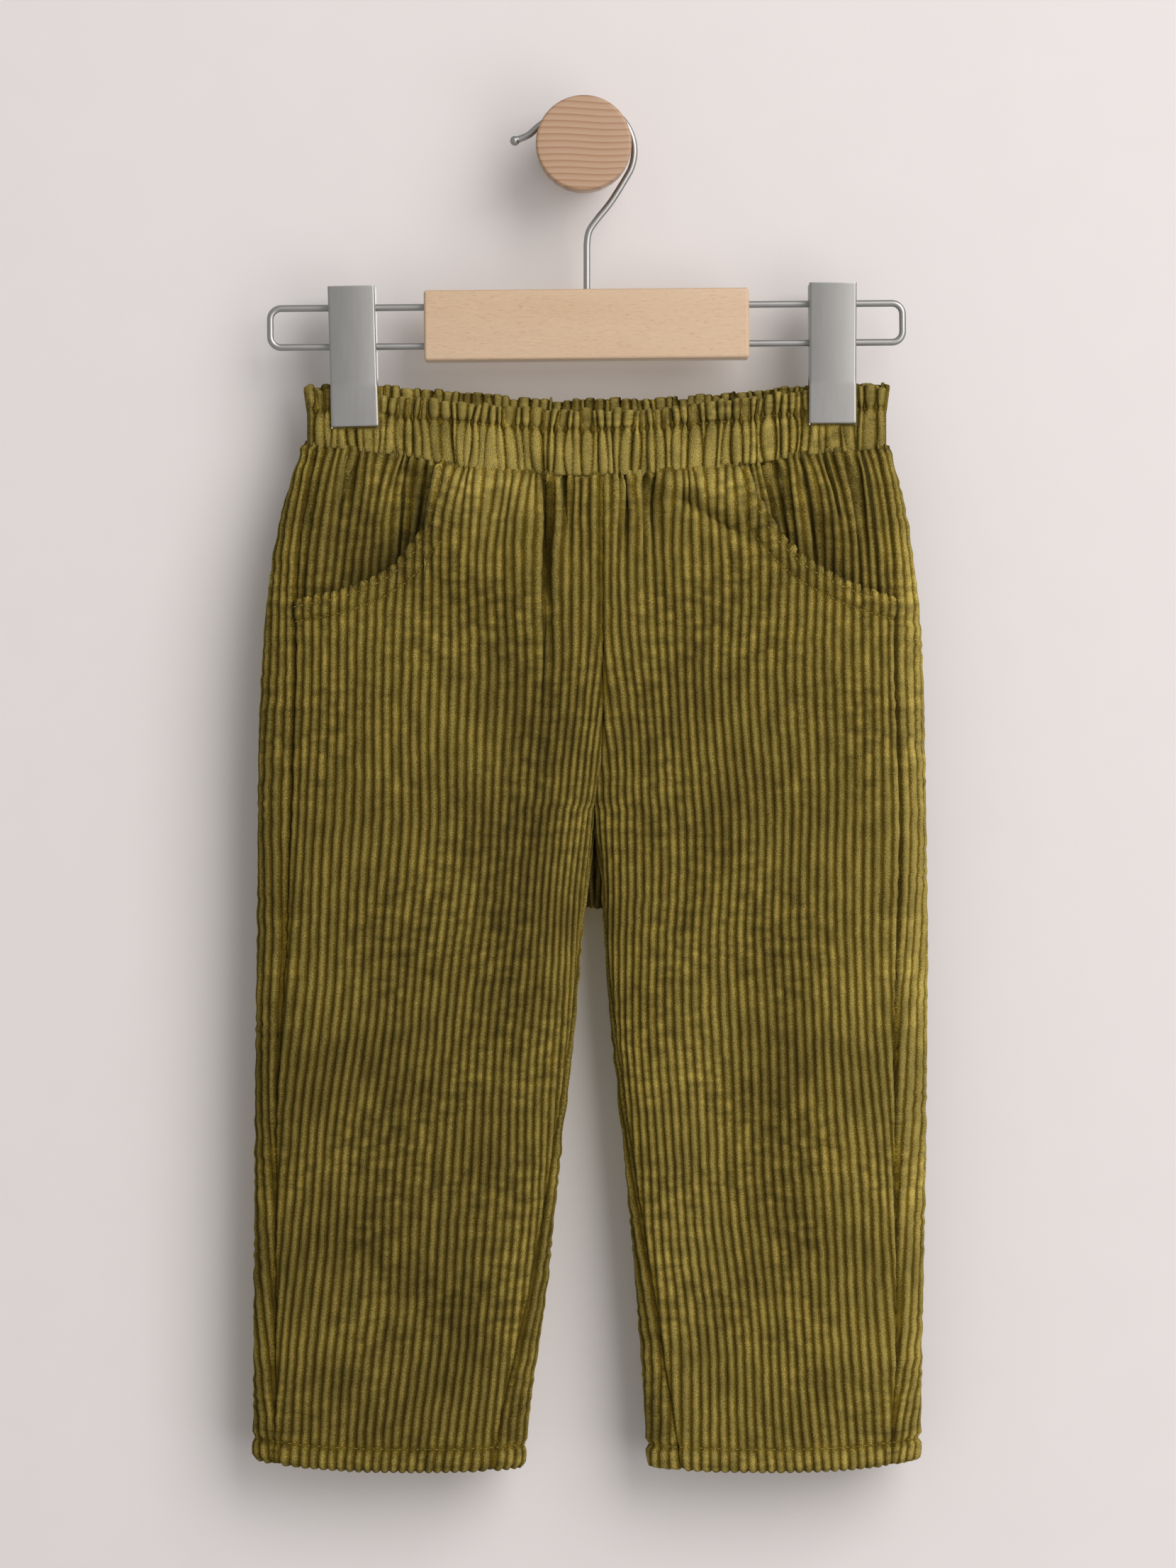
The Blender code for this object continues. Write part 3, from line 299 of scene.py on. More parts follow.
# %% [markdown]
# ## Rings, levels and folds
#
# A table is read as a smooth curve through its rows. A ring gives the outline of one half of the
# trousers at a height, and place() finds points on it, with the folds added. A cloth simulation
# could find folds of its own, but these stand where they hang on the real pair, in every run.

# %% A table as a smooth curve
def read(table, key, column, at):
    """Smooth curve through a table's column, against its key column."""
    rows = sorted(table, key=lambda row: getattr(row, key))
    keys = np.array([getattr(row, key) for row in rows], float)
    values = np.array([getattr(row, column) for row in rows], float)
    slopes = np.gradient(values, keys)
    at = np.clip(np.asarray(at, float), keys[0], keys[-1])
    cell = np.clip(np.searchsorted(keys, at) - 1, 0, len(keys) - 2)
    width = keys[cell + 1] - keys[cell]
    t = (at - keys[cell]) / width
    return ((1 + 2 * t) * (1 - t) ** 2 * values[cell]
            + t * (1 - t) ** 2 * width * slopes[cell]
            + t * t * (3 - 2 * t) * values[cell + 1]
            + t * t * (t - 1) * width * slopes[cell + 1])


print("half depth at the knee:", read(SECTIONS, "z", "half_depth", -425).round(1), "mm")

# %% Folds as relief
SHARP_HEIGHT, SHARP_SPREAD = -3.0, 3.5  # deeper and narrower troughs than this are creases,
CREASE_START, CREASE_LOSS = 0.45, 0.8  # and run out over the lower part of their length


def fold_height(folds, x, z):
    total = np.zeros(np.broadcast(x, z).shape)
    for fold in folds:
        along_x, along_z = fold.x_low - fold.x_top, fold.z_low - fold.z_top
        length2 = along_x ** 2 + along_z ** 2
        t = np.clip(((x - fold.x_top) * along_x + (z - fold.z_top) * along_z) / length2, 0, 1)
        away2 = (x - fold.x_top - t * along_x) ** 2 + (z - fold.z_top - t * along_z) ** 2
        sharp = fold.height < SHARP_HEIGHT and fold.spread < SHARP_SPREAD
        run_out = 1 - CREASE_LOSS * smooth_step((t - CREASE_START) / (1 - CREASE_START)) * sharp
        profile = np.exp(-0.5 * (away2 / fold.spread ** 2) ** (fold.edge / 2))
        total = total + run_out * fold.height * profile
    return total


print("the left puff stands out", fold_height(FRONT_FOLDS, -45, -165).round(1), "mm")

# %% Rings round the trousers
Ring = namedtuple("Ring", "length outer lining")
RING_THETA = np.linspace(0.0, 2.5 * pi, 901)


def faces_front(theta):
    return (theta < pi) | (theta > tau + 1e-6)


def band_half_depth(x):
    return read(BAND_DEPTH, "reach", "half_depth", np.abs(x - BAND_CENTRE) / BAND_HALF_WIDTH)


def ring(side, z, seat_closed):
    """Outline of one half of the trousers: from the centre or inner edge (theta 0) over the front
    to the outer edge (pi) and over the back (2 pi). Its coordinates are (outward, y)."""
    outer_edge = side.sign * read(SECTIONS, "z", side.name + "_outer", z)
    inner_edge = side.sign * read(SECTIONS, "z", side.name + "_inner", z)
    front_closed = float(smooth_step((FRONT_CLOSING - z) / (FRONT_CLOSING - CROTCH_FRONT)))
    half_depth = read(SECTIONS, "z", "half_depth", z)

    on_front = faces_front(RING_THETA)
    closed = np.where(on_front, front_closed, seat_closed)
    back_inner = inner_edge * seat_closed + side.sign * CENTRE_BACK_X * (1 - seat_closed)
    inner = np.where(on_front, inner_edge, back_inner)
    power = 2.0 / BODY_ROUNDNESS
    across = -np.sign(np.cos(RING_THETA)) * np.abs(np.cos(RING_THETA)) ** power
    bulge = np.abs(np.sin(RING_THETA)) ** power
    bulge = np.where(across < 0, 1 - closed + closed * bulge, bulge)
    facing = np.where(on_front, -1.0, 1.0)

    waist = (1.0 - np.clip((WAIST_LEVEL - z) / (WAIST_LEVEL - HIP_LEVEL), 0, 1)) ** WAIST_BLEND
    faces = []
    for wall in (0.0, CORD_WALL):
        far = outer_edge - wall
        near = inner + wall * closed
        outward = far - (far - near) * (1 - across) / 2
        depth = (half_depth - wall) * bulge
        band_far = BAND_HALF_WIDTH + side.sign * BAND_CENTRE - wall
        band_outward = band_far - (band_far - near) * (1 - across) / 2
        band_depth = np.maximum(band_half_depth(side.sign * band_outward) - wall, LEAST_DEPTH)
        outward = outward + waist * (band_outward - outward)
        depth = depth + waist * (band_depth - depth)
        faces.append(np.stack([outward, HANG_Y + facing * depth], axis=1))
    return Ring(lengths_along(faces[0]), *faces)


def length_at(outline, outward):
    """Length along the front of a ring to where it lies so far outward."""
    front = RING_THETA <= pi
    return float(np.interp(outward, outline.outer[front, 0], outline.length[front]))


def side_seam_length(side, z, outline):
    return length_at(outline, side.sign * read(SECTIONS, "z", side.name + "_seam", z))


def round_to_back(outline):
    """Length of a ring from its start over the front and the back to where they meet again."""
    return float(np.interp(tau, RING_THETA, outline.length))


hip_ring = ring(SIDES[0], HIP_LEVEL, 0.0)
print("round half the hip:", round(round_to_back(hip_ring)), "mm")

# %% Points on a level
def level_height(level, x, on_front):
    """True height of a level: it follows the waist seam at the top and the hem at the bottom."""
    seam = np.where(on_front, read(BAND, "x", "front_seam", x), read(BAND, "x", "back_seam", x))
    top_share = 1.0 - smooth_step((WAIST_LEVEL - level) / (WAIST_LEVEL - POCKET_END))
    height = level + (seam - WAIST_LEVEL) * top_share
    hem_share = smooth_step((level - HEM_CURVE_START) / (HEM_LEVEL - HEM_CURVE_START))
    hem = SECTIONS[-1]
    inner = np.where(x < 0, hem.left_inner, hem.right_inner)
    outer = np.where(x < 0, hem.left_outer, hem.right_outer)
    across = np.clip((x - inner) / (outer - inner), 0, 1)
    curve = HEM_SAG + HEM_OUTER_LIFT * across ** 4 + HEM_INNER_LIFT * (1 - across) ** 4
    return height + curve * hem_share


def place(side, level, outline, at_length, depth_share):
    """Points of a level at distances along its ring, on the outer (0) or inner (1) face."""
    skin = [np.interp(at_length, outline.length, outline.outer[:, i]) for i in (0, 1)]
    lining = [np.interp(at_length, outline.length, outline.lining[:, i]) for i in (0, 1)]
    outward = skin[0] + depth_share * (lining[0] - skin[0])
    y = skin[1] + depth_share * (lining[1] - skin[1])
    on_front = faces_front(np.interp(at_length, outline.length, RING_THETA))
    x = side.sign * outward
    z = level_height(level, x, on_front)
    below_seam = smooth_step((WAIST_LEVEL - level) / FOLD_START)
    flat = smooth_step(np.abs(y - HANG_Y) / FOLD_EDGE_DEPTH)
    fold = np.where(on_front, -fold_height(FRONT_FOLDS, x, z), fold_height(BACK_FOLDS, x, z))
    return np.stack([x, y + below_seam * flat * fold, z], axis=1)


print("a point of the hip:", place(SIDES[0], HIP_LEVEL, hip_ring, np.array([60.0]), 0.0).round(1))

# %% [markdown]
# ## A panel as a map
#
# Each panel becomes a map: a level and a distance across the ribs, counted from the side seam,
# give a point. The distance is the *grain* coordinate of the cloth. A rib keeps its grain number
# from waist to hem, and where the panel narrows it runs off at the seam, as in real sewing. A
# plain grid of faces would squeeze all ribs together instead.

# %% Rows of a front
Weave = namedtuple("Weave", "levels starts ends skin lining seed crowding")
COLUMNS = 321


def gather(level, width, full_width):
    """Ribs draw together towards the waist: grain distance per distance along the ring."""
    return full_width / width if level > POCKET_END else 1.0


def inseam_start(level):
    return float(read(INSEAM, "z", "forward", level)) if level <= CROTCH_FRONT else 0.0


def front_row(side, level):
    outline = ring(side, level, float(level <= CROTCH_FRONT))
    seam, start = side_seam_length(side, level, outline), inseam_start(level)
    hip = ring(side, POCKET_END, 0.0)
    end = (seam - start) * gather(level, seam - start, side_seam_length(side, POCKET_END, hip))
    lengths = seam - np.linspace(0, 1, COLUMNS) * (seam - start)
    return end, place(side, level, outline, lengths, 0.0), place(side, level, outline, lengths, 1.0)


def inseam_point(side, level):
    outline = ring(side, level, 1.0)
    return place(side, level, outline, np.array([inseam_start(level)]), 0.0)[0]


print("inseam at the knee:", inseam_point(SIDES[0], -425.0).round(1))

# %% Rows of a back
LEG_EASE, FORK_EASE = 70.0, 48.0  # over these distances the back is drawn to the inseam
FORK_LINING_LIFT = 9.0
FORK_LIFTED = -335.0  # level at which the inner face is lifted in full

# Heights of the inner end of a back level, on the centre-back seam and on the inseam.
CENTRE_ENDS = ((-139.0, -240.0, -276.0, -306.0, -335.0), (-139.0, -240.0, -284.0, -322.0, -352.0))
INSEAM_ENDS = ((-365.0, -404.0, -430.0, -460.0, -608.0), (-306.0, -365.0, -404.0, -460.0, -608.0))


def back_row(side, level, closed):
    """A back level; closed where it ends on the inseam and not on the centre back."""
    ends = INSEAM_ENDS if closed else CENTRE_ENDS
    end_level = float(np.interp(-level, -np.array(ends[0]), ends[1]))
    outline = ring(side, level, float(closed))
    seam = side_seam_length(side, level, outline)
    end = round_to_back(outline) + closed * inseam_start(level)
    hip = ring(side, POCKET_END, 0.0)
    hip_width = round_to_back(hip) - side_seam_length(side, POCKET_END, hip)
    width = end - seam
    keys = np.linspace(0, 1, COLUMNS) * width
    last = place(side, level, outline, np.array([end]), 0.0)[0]
    meeting = CENTRE_BACK_X - side.sign * BACK_OVERLAP
    drop = np.array([meeting - last[0], 0, end_level - level])
    shift = inseam_point(side, end_level) - last if closed else drop
    ease = np.interp(-level, [365.0, 404.0], [FORK_EASE, LEG_EASE]) if closed else LEG_EASE
    lift = FORK_LINING_LIFT * smooth_step((CROTCH_FRONT - level) / (CROTCH_FRONT - FORK_LIFTED))
    faces = []
    for depth_share, raised in ((0.0, 0.0), (1.0, 0.0 if closed else lift)):
        points = place(side, level, outline, seam + keys, depth_share)
        share = smooth_step((keys - (width - ease)) / ease)[:, None]
        points = points + share * (shift + np.array([0, 0, raised]))
        outward = np.maximum(side.sign * points[:, 0], side.sign * CENTRE_BACK_X - BACK_OVERLAP)
        points[:, 0] = side.sign * outward
        faces.append(points)
    return width * gather(level, width, hip_width), *faces


print("the left back's hip is", round(back_row(SIDES[0], POCKET_END, False)[0]), "mm wide")

# %% Panels as maps
# Extra width of a front, which crowds its ribs against the inner leg around the crotch.
CROWDING = ((-225.0, 0.0), (-268.0, 6.0), (-306.0, 14.0), (-345.0, 14.5), (-420.0, 8.0),
            (-500.0, 2.0), (-608.0, 0.0))
CROWDED_REACH = 26.0
SEAM_ROOM = 12.0  # the ribs stop wandering this near to a seam


def crowding(levels, strength):
    at, extra = zip(*CROWDING)
    return strength * np.interp(-levels, -np.array(at), extra)


def weave_from(levels, rows, starts, seed, strength=0.0):
    widths, skin, lining = zip(*rows)
    extra = crowding(levels, strength)
    ends = np.array(starts) + widths + extra
    return Weave(levels, np.array(starts), ends, np.array(skin), np.array(lining), seed, extra)


def edges_at(weave, level):
    """Grain coordinates of the side seam and of the inner seam at a level."""
    return [np.interp(-level, -weave.levels, ends) for ends in (weave.starts, weave.ends)]


def sway(weave, grain, level, start, end):
    """Sideways wandering of the ribs: slow on the leg, crowded and uneven under the gathers."""
    below = WAIST_LEVEL - level
    slow = (0.9 * np.sin(below / 39 + grain / 27 + weave.seed)
            + 0.5 * np.sin(below / 17 - grain / 19 + 2 * weave.seed))
    crowded = np.exp(-np.maximum(below, 0.0) / 26) * (
        1.2 * np.sin(grain / 4.9 + below / 13 + weave.seed) + 0.8 * np.sin(grain / 2.7 - below / 19))
    room = smooth_step(np.minimum(grain - start, end - grain) / SEAM_ROOM)
    return room * (slow + crowded)


def cloth_at(weave, grain, level, depth=0.0):
    """Points of the cloth; depth is the distance behind its outer face."""
    down = np.interp(-level, -weave.levels, np.arange(len(weave.levels)))
    start, end = edges_at(weave, level)
    extra = np.interp(-level, -weave.levels, weave.crowding)
    width = end - start
    to_end = np.clip(end - grain - sway(weave, grain, level, start, end), 0.0, width)
    drawn = extra * (1 - np.exp(-to_end / CROWDED_REACH)) / (1 - np.exp(-width / CROWDED_REACH))
    across = np.clip(1 - (to_end - drawn) / (width - extra), 0.0, 1.0) * (COLUMNS - 1)
    row = np.minimum(down.astype(int), len(weave.levels) - 2)
    column = np.minimum(across.astype(int), COLUMNS - 2)
    v, u = (down - row)[:, None], (across - column)[:, None]
    points = []
    for face in (weave.skin, weave.lining):
        upper = face[row, column] * (1 - u) + face[row, column + 1] * u
        lower = face[row + 1, column] * (1 - u) + face[row + 1, column + 1] * u
        points.append(upper * (1 - v) + lower * v)
    share = np.broadcast_to(np.asarray(depth, float) / CORD_WALL, grain.shape)[:, None]
    return points[0] + (points[1] - points[0]) * share


print("crowding at the crotch:", crowding(np.array([CROTCH_FRONT]), 1.0)[0], "mm")

# %% The four maps
FRONT_TABLE = np.concatenate([np.arange(-139.0, -212.0, -1.5), np.arange(-213.0, -609.0, -3.0),
                              [HEM_LEVEL]])
CENTRE_TABLE = np.arange(-139.0, -336.0, -2.0)
INSEAM_TABLE = np.append(np.arange(-365.0, -608.0, -3.0), HEM_LEVEL)
SIDE_RUN_OFF = 0.45  # share of the leg's narrowing at which ribs run off at the side seam
RUN_OFF_START = -276.0


def run_off(side, levels):
    """Grain coordinate of the side seam: ribs run off into it where the leg narrows."""
    widths = [front_row(side, level)[0] for level in (RUN_OFF_START, *FRONT_TABLE)]
    lost = SIDE_RUN_OFF * np.maximum(widths[0] - np.array(widths[1:]), 0.0)
    lost[FRONT_TABLE >= RUN_OFF_START] = 0.0
    return np.interp(-levels, -FRONT_TABLE, lost)


fronts, backs = {}, {}
for side in SIDES:
    rows = [front_row(side, level) for level in FRONT_TABLE]
    fronts[side] = weave_from(FRONT_TABLE, rows, run_off(side, FRONT_TABLE), 1.3 + side.sign,
                              1.0 if side.sign < 0 else 0.75)
    rows = [back_row(side, level, False) for level in CENTRE_TABLE]
    rows += [back_row(side, level, True) for level in INSEAM_TABLE]
    back_table = np.append(CENTRE_TABLE, INSEAM_TABLE)
    backs[side] = weave_from(back_table, rows, run_off(side, back_table), 4.1 + side.sign)
    print(side.name, "front:", (fronts[side].ends - fronts[side].starts)[[0, -1]].round(), "mm wide")

# %% [markdown]
# ## Finishes of the cloth
#
# The pile of jumbo cord is cut into thick ribs. The ends on top of each rib are lighter, the
# valleys show the darker ground, and where it was crushed it looks blotchy and beaded. Noise in the
# material is enough for that, while the ribs are real relief. The material reads how high a point
# stands on its rib from the attribute "ridge" and colours it from valley to crown: the cloth's own
# colours, with painted shade in the valleys and a painted highlight on the crowns. Its patterns come
# from the UV map "cloth", which counts metres across and along the ribs.

# %% Helpers for materials
def new_material(name):
    made = bpy.data.materials.new(name)
    made.use_nodes = True
    made.node_tree.nodes.clear()
    return made, made.node_tree


def noise(tree, vector, detail=2.0, dimensions="3D"):
    return output(tree, "TexNoise", {"Vector": vector, "Scale": 1.0, "Detail": detail},
                  noise_dimensions=dimensions)


def stretched(tree, per_metre):
    spot = add_node(tree, "TexCoord").outputs["Object"]
    return output(tree, "Mapping", {"Vector": spot, "Scale": per_metre})


def cloth_noise(tree, per_mm, detail, across=1.0, shift=0.0):
    """Noise in cloth coordinates, per_mm cells along a rib and across times as many over it."""
    cells = (1000 * per_mm * across, 1000 * per_mm, 1)
    uv = output(tree, "UVMap", uv_map="cloth")
    spot = output(tree, "Mapping", {"Vector": uv, "Location": (shift, shift, 0), "Scale": cells})
    return noise(tree, spot, detail, "2D")


def ranged(tree, value, low, high, from_low=0.0, from_high=1.0):
    return output(tree, "MapRange", {
        "Value": value, "From Min": from_low, "From Max": from_high,
        "To Min": low, "To Max": high})


def multiplied(tree, colour, factor):
    return output(tree, "VectorMath", {0: colour, "Scale": factor}, operation="SCALE")


def times(tree, a, b):
    return calc(tree, "MULTIPLY", a, b)


def blend(tree, factor, first_hex, second_hex):
    return add_node(tree, "Mix", {
        "Factor": factor, 6: linear(first_hex), 7: linear(second_hex)}, data_type="RGBA").outputs[2]


def bump(tree, height, strength, depth, **under):
    """Small relief, its depth in millimetres."""
    return output(tree, "Bump", {"Height": height, "Strength": strength, "Distance": depth * MM, **under})


def surface(tree, colour, roughness, **more):
    inputs = {key.replace("_", " "): value for key, value in more.items()}
    return output(tree, "BsdfPrincipled", {"Base Color": colour, "Roughness": roughness, **inputs})


def show(tree, shader):
    add_node(tree, "OutputMaterial", {"Surface": shader})


print("cells of 2 mm have the scale", 1000 / 2)

# %% Corduroy
BEAD_LENGTH = 4.0  # mm of rib from one crushed mark to the next


def rib_beads(tree):
    """Crushed pile: short light and dark lengths on each rib, which echo the ribs beside it."""
    uv = output(tree, "UVMap", uv_map="cloth")
    split = add_node(tree, "SeparateXYZ", {0: uv})
    rib = calc(tree, "FLOOR", times(tree, split.outputs["X"], 1000 / WALE_PITCH))
    own = output(tree, "TexWhiteNoise", {"W": rib}, noise_dimensions="1D")
    along = calc(tree, "MULTIPLY_ADD", split.outputs["Y"], 1000 / BEAD_LENGTH, times(tree, own, 0.4))
    spot = output(tree, "CombineXYZ", {0: times(tree, rib, 0.5), 1: along})
    return noise(tree, spot, 1.0, "2D")


def corduroy(name, rib_hex, crown_and_highlight_hex, valley_and_shade_hex):
    """Cotton jumbo corduroy: matt, with a soft sheen from the pile where it turns away."""
    made, tree = new_material(name)
    ridge = add_node(tree, "Attribute", attribute_name="ridge").outputs["Fac"]
    nap = add_node(tree, "Attribute", attribute_name="nap").outputs["Fac"]
    speck = cloth_noise(tree, 1.8, 2.5, across=1.2)  # pile tufts, 0.5 mm
    bead = rib_beads(tree)
    streak = cloth_noise(tree, 1 / 16.0, 1.5, across=3.6)  # lengths of one rib
    patch = cloth_noise(tree, 1 / 42.0, 2.0, shift=7.3)  # broad patches of laid pile
    crushed = ranged(tree, cloth_noise(tree, 1 / 50.0, 1.0, shift=3.1), 0.25, 1.0, 0.38, 0.60)
    beads = calc(tree, "MULTIPLY_ADD", ranged(tree, bead, -0.25, 0.29, 0.3, 0.7), crushed, 1.0)
    light = times(tree, times(tree, ranged(tree, speck, 0.62, 1.38, 0.28, 0.72), beads),
                  times(tree, ranged(tree, streak, 0.82, 1.18, 0.3, 0.7),
                        ranged(tree, patch, 0.82, 1.18, 0.3, 0.7)))
    # The pile tone scales the colour: laid pile, and patches of painted light and shade. Its lighter
    # patches also push the colour towards the crown.
    light = times(tree, light, calc(tree, "ADD", nap, 1.0))
    fuzz = ranged(tree, cloth_noise(tree, 1.2, 2.0, across=1.4, shift=5.2), -0.19, 0.19, 0.3, 0.7)
    shallow = calc(tree, "MULTIPLY_ADD", calc(tree, "MAXIMUM", nap, 0.0), 0.8,
                   calc(tree, "ADD", ridge, fuzz))
    # Colour by height on the rib: the cloth's darker ground and lighter pile ends, with painted shade in
    # the valleys and a painted highlight on the crowns.
    depth = add_node(tree, "ValToRGB", {"Fac": shallow})
    stops = depth.color_ramp.elements
    stops[0].color, stops[0].position = linear(valley_and_shade_hex), 0.10
    stops[1].color, stops[1].position = linear(crown_and_highlight_hex), 1.0
    stops.new(0.62).color = linear(rib_hex)
    colour = multiplied(tree, depth.outputs[0], light)
    rough = bump(tree, bead, 0.35, 0.7, Normal=bump(tree, speck, 0.7, 0.4))
    show(tree, surface(tree, colour, 0.92, Specular_IOR_Level=0.1, Normal=rough, Sheen_Weight=0.12,
                       Sheen_Roughness=0.45, Sheen_Tint=linear("b5a35c")))
    return made


# The valley colour holds painted shade, and the crown colour a painted highlight.
cord_look = corduroy("olive jumbo corduroy", "5f4f14", "86783f", "504112")
print("corduroy:", len(cord_look.node_tree.nodes), "nodes")

# %% Wrong side and sewing thread
def wrong_side():
    """Back of corduroy: a plain, flat twill ground without pile."""
    made, tree = new_material("corduroy wrong side")
    weave = cloth_noise(tree, 1.1, 1.0, across=0.35)
    show(tree, surface(tree, blend(tree, weave, "5d5424", "7f7540"), 0.95, Specular_IOR_Level=0.1,
                       Normal=bump(tree, weave, 0.4, 0.2)))
    return made


def sewing_thread():
    """Spun polyester thread, a little shinier and paler than the cloth."""
    made, tree = new_material("spun polyester thread")
    ply = noise(tree, stretched(tree, (2200, 2200, 2200)))
    show(tree, surface(tree, blend(tree, ply, "8f8540", "aca15c"), 0.6, Specular_IOR_Level=0.3))
    return made


back_look = wrong_side()
thread_look = sewing_thread()
print(back_look.name, "/", thread_look.name)

# %% [markdown]
# ## Raising the ribs
#
# The ribs repeat over the whole cloth, so Geometry Nodes raise them. A panel comes in as a smooth
# sheet whose points know their grain coordinate, the way out of the cloth, a fade where a seam or a
# stitch holds the pile down, and a relief for dents and puckers. The tree turns the grain into a
# rounded rib profile, lets each rib wander and swell a little, and moves the points out.

# %% Helpers for Geometry Nodes
def open_tree(name, sockets):
    tree = bpy.data.node_groups.new(name, "GeometryNodeTree")
    for socket_name, kind in (("Geometry", "Geometry"), *sockets):
        tree.interface.new_socket(socket_name, in_out="INPUT", socket_type="NodeSocket" + kind)
    tree.interface.new_socket("Geometry", in_out="OUTPUT", socket_type="NodeSocketGeometry")
    return tree, add_node(tree, "NodeGroupInput").outputs


def close_tree(tree, geometry, material):
    real = output(tree, "GeometryNodeRealizeInstances", {"Geometry": geometry})
    dressed = output(tree, "GeometryNodeSetMaterial", {"Geometry": real, "Material": material})
    add_node(tree, "NodeGroupOutput", {"Geometry": dressed})


def grow(piece, tree, **values):
    """Runs a tree on a piece and keeps the result as its plain mesh."""
    modifier = piece.modifiers.new(tree.name, "NODES")
    modifier.node_group = tree
    for item in tree.interface.items_tree:
        key = item.name.replace(" ", "_").lower()
        if item.in_out == "INPUT" and key in values:
            modifier[item.identifier] = values[key]
    return settled(piece)


def attribute(tree, name, data_type="FLOAT"):
    return output(tree, "GeometryNodeInputNamedAttribute", {"Name": name}, data_type=data_type)


print("every tree takes and gives geometry")

# %% The tree that raises the ribs
RIB_HEIGHT, RIB_SQUARENESS = 1.35, 2.1
RIB_SWELL, RIB_WANDER = 0.5, 0.9  # a share of its height, and mm sideways


def rib_round(grain):
    """The rib profile that the tree raises, before it wanders."""
    off_crown = np.abs(2 * ((grain / WALE_PITCH) % 1.0) - 1)
    return 1 - off_crown ** RIB_SQUARENESS


def rib_tree():
    tree, given = open_tree("raise the ribs", (
        ("Pitch", "Float"), ("Height", "Float"), ("Swell", "Float"), ("Wander", "Float"),
        ("Seed", "Float"), ("Cloth", "Material"), ("Wrong side", "Material")))

    grain, run = attribute(tree, "grain"), attribute(tree, "run")

    def uneven(across, along, detail):
        """Noise that is the same over each step across and changes along the ribs."""
        spot = output(tree, "CombineXYZ", {0: across, 1: times(tree, run, along), 2: given["Seed"]})
        return noise(tree, spot, detail)

    rib = calc(tree, "FLOOR", calc(tree, "DIVIDE", grain, given["Pitch"]))
    thickness = uneven(times(tree, rib, 3.7), 0.11, 2.0)
    sideways = calc(tree, "SUBTRACT", uneven(times(tree, grain, 0.05), 0.16, 1.0), 0.5)
    moved = times(tree, sideways, given["Wander"])
    phase = calc(tree, "FRACT", calc(tree, "DIVIDE", calc(tree, "ADD", grain, moved), given["Pitch"]))
    off_crown = calc(tree, "ABSOLUTE", calc(tree, "SUBTRACT", times(tree, phase, 2.0), 1.0))
    round_rib = calc(tree, "SUBTRACT", 1.0, calc(tree, "POWER", off_crown, RIB_SQUARENESS))
    swell = calc(tree, "ADD", 1.0, times(tree, calc(tree, "SUBTRACT", thickness, 0.5), given["Swell"]))
    ridge = times(tree, round_rib, attribute(tree, "fade"))
    raised = calc(tree, "ADD", times(tree, times(tree, ridge, given["Height"]), swell),
                  attribute(tree, "relief"))
    offset = multiplied(tree, attribute(tree, "out", "FLOAT_VECTOR"), times(tree, raised, MM))
    shaped = output(tree, "GeometryNodeSetPosition", {"Geometry": given["Geometry"], "Offset": offset})
    marked = output(tree, "GeometryNodeStoreNamedAttribute", {
        "Geometry": shaped, "Name": "ridge", "Value": ridge}, data_type="FLOAT",
        domain="POINT")
    real = output(tree, "GeometryNodeRealizeInstances", {"Geometry": marked})
    outside = output(tree, "GeometryNodeSetMaterial", {"Geometry": real, "Material": given["Cloth"]})
    inside = calc(tree, "GREATER_THAN", attribute(tree, "lining"), 0.9)
    both = output(tree, "GeometryNodeSetMaterial", {
        "Geometry": outside, "Selection": inside, "Material": given["Wrong side"]})
    add_node(tree, "NodeGroupOutput", {"Geometry": both})
    return tree


raise_ribs = rib_tree()


def with_ribs(piece, seed):
    return grow(piece, raise_ribs, pitch=WALE_PITCH, height=RIB_HEIGHT, swell=RIB_SWELL,
                wander=RIB_WANDER, seed=seed, cloth=cord_look, wrong_side=back_look)


print("rib tree:", len(raise_ribs.nodes), "nodes")

# %% [markdown]
# ## From rows of points to a shell of cloth
#
# A panel is laid out as rows across the ribs, with eight points to a rib. The outer face is fine and
# the inner face coarse. Two rows are zipped together by walking along both, so a row may lose
# points where ribs run off at a seam. The edges are zipped too, which closes the shell: cloth has
# two faces, and a single sheet would look like paper at the hem and at the pocket edge.

# %% Laid pile
# Patches lighter (+) or darker (-) than the rest. Some are pile laid up or down by hands and folding;
# some are painted light and shade: highlights on the puffs and along the right outer edge of the
# trousers, shade beside the left puff's shoulder and in the hollow of the inner left thigh.
Patch = namedtuple("Patch", "x z reach_x reach_z lift")
PILE_AND_LIGHT_PATCHES = [Patch(*row) for row in (
    (-45, -158, 24, 14, 0.23), (59, -158, 24, 13, 0.20), (-38, -150, 16, 7, 0.15),
    (-19.5, -153, 2.6, 6, -0.45), (58, -149, 16, 6, 0.14), (8, -150, 12, 8, 0.12),
    (-118, -190, 26, 22, -0.12), (-84, -186, 14, 20, -0.10),
    (-28, -330, 13, 70, -0.34), (-100, -265, 30, 40, 0.01),
    (-100, -480, 50, 120, -0.21), (-60, -420, 22, 60, -0.06),
    (-110, -585, 40, 28, -0.04), (-15, -250, 10, 40, -0.10),
    (78, -560, 26, 46, 0.07), (60, -420, 16, 70, 0.08),
    (120, -430, 14, 90, 0.08), (88, -460, 16, 75, -0.20),
    (70, -290, 32, 42, -0.10), (-68, -550, 24, 42, -0.11), (46, -515, 11, 60, 0.08),
    (28, -330, 10, 50, -0.06), (154, -330, 8, 190, 0.36),
    (-150, -400, 6, 150, -0.10), (0, -604, 200, 4, 0.16),
)]


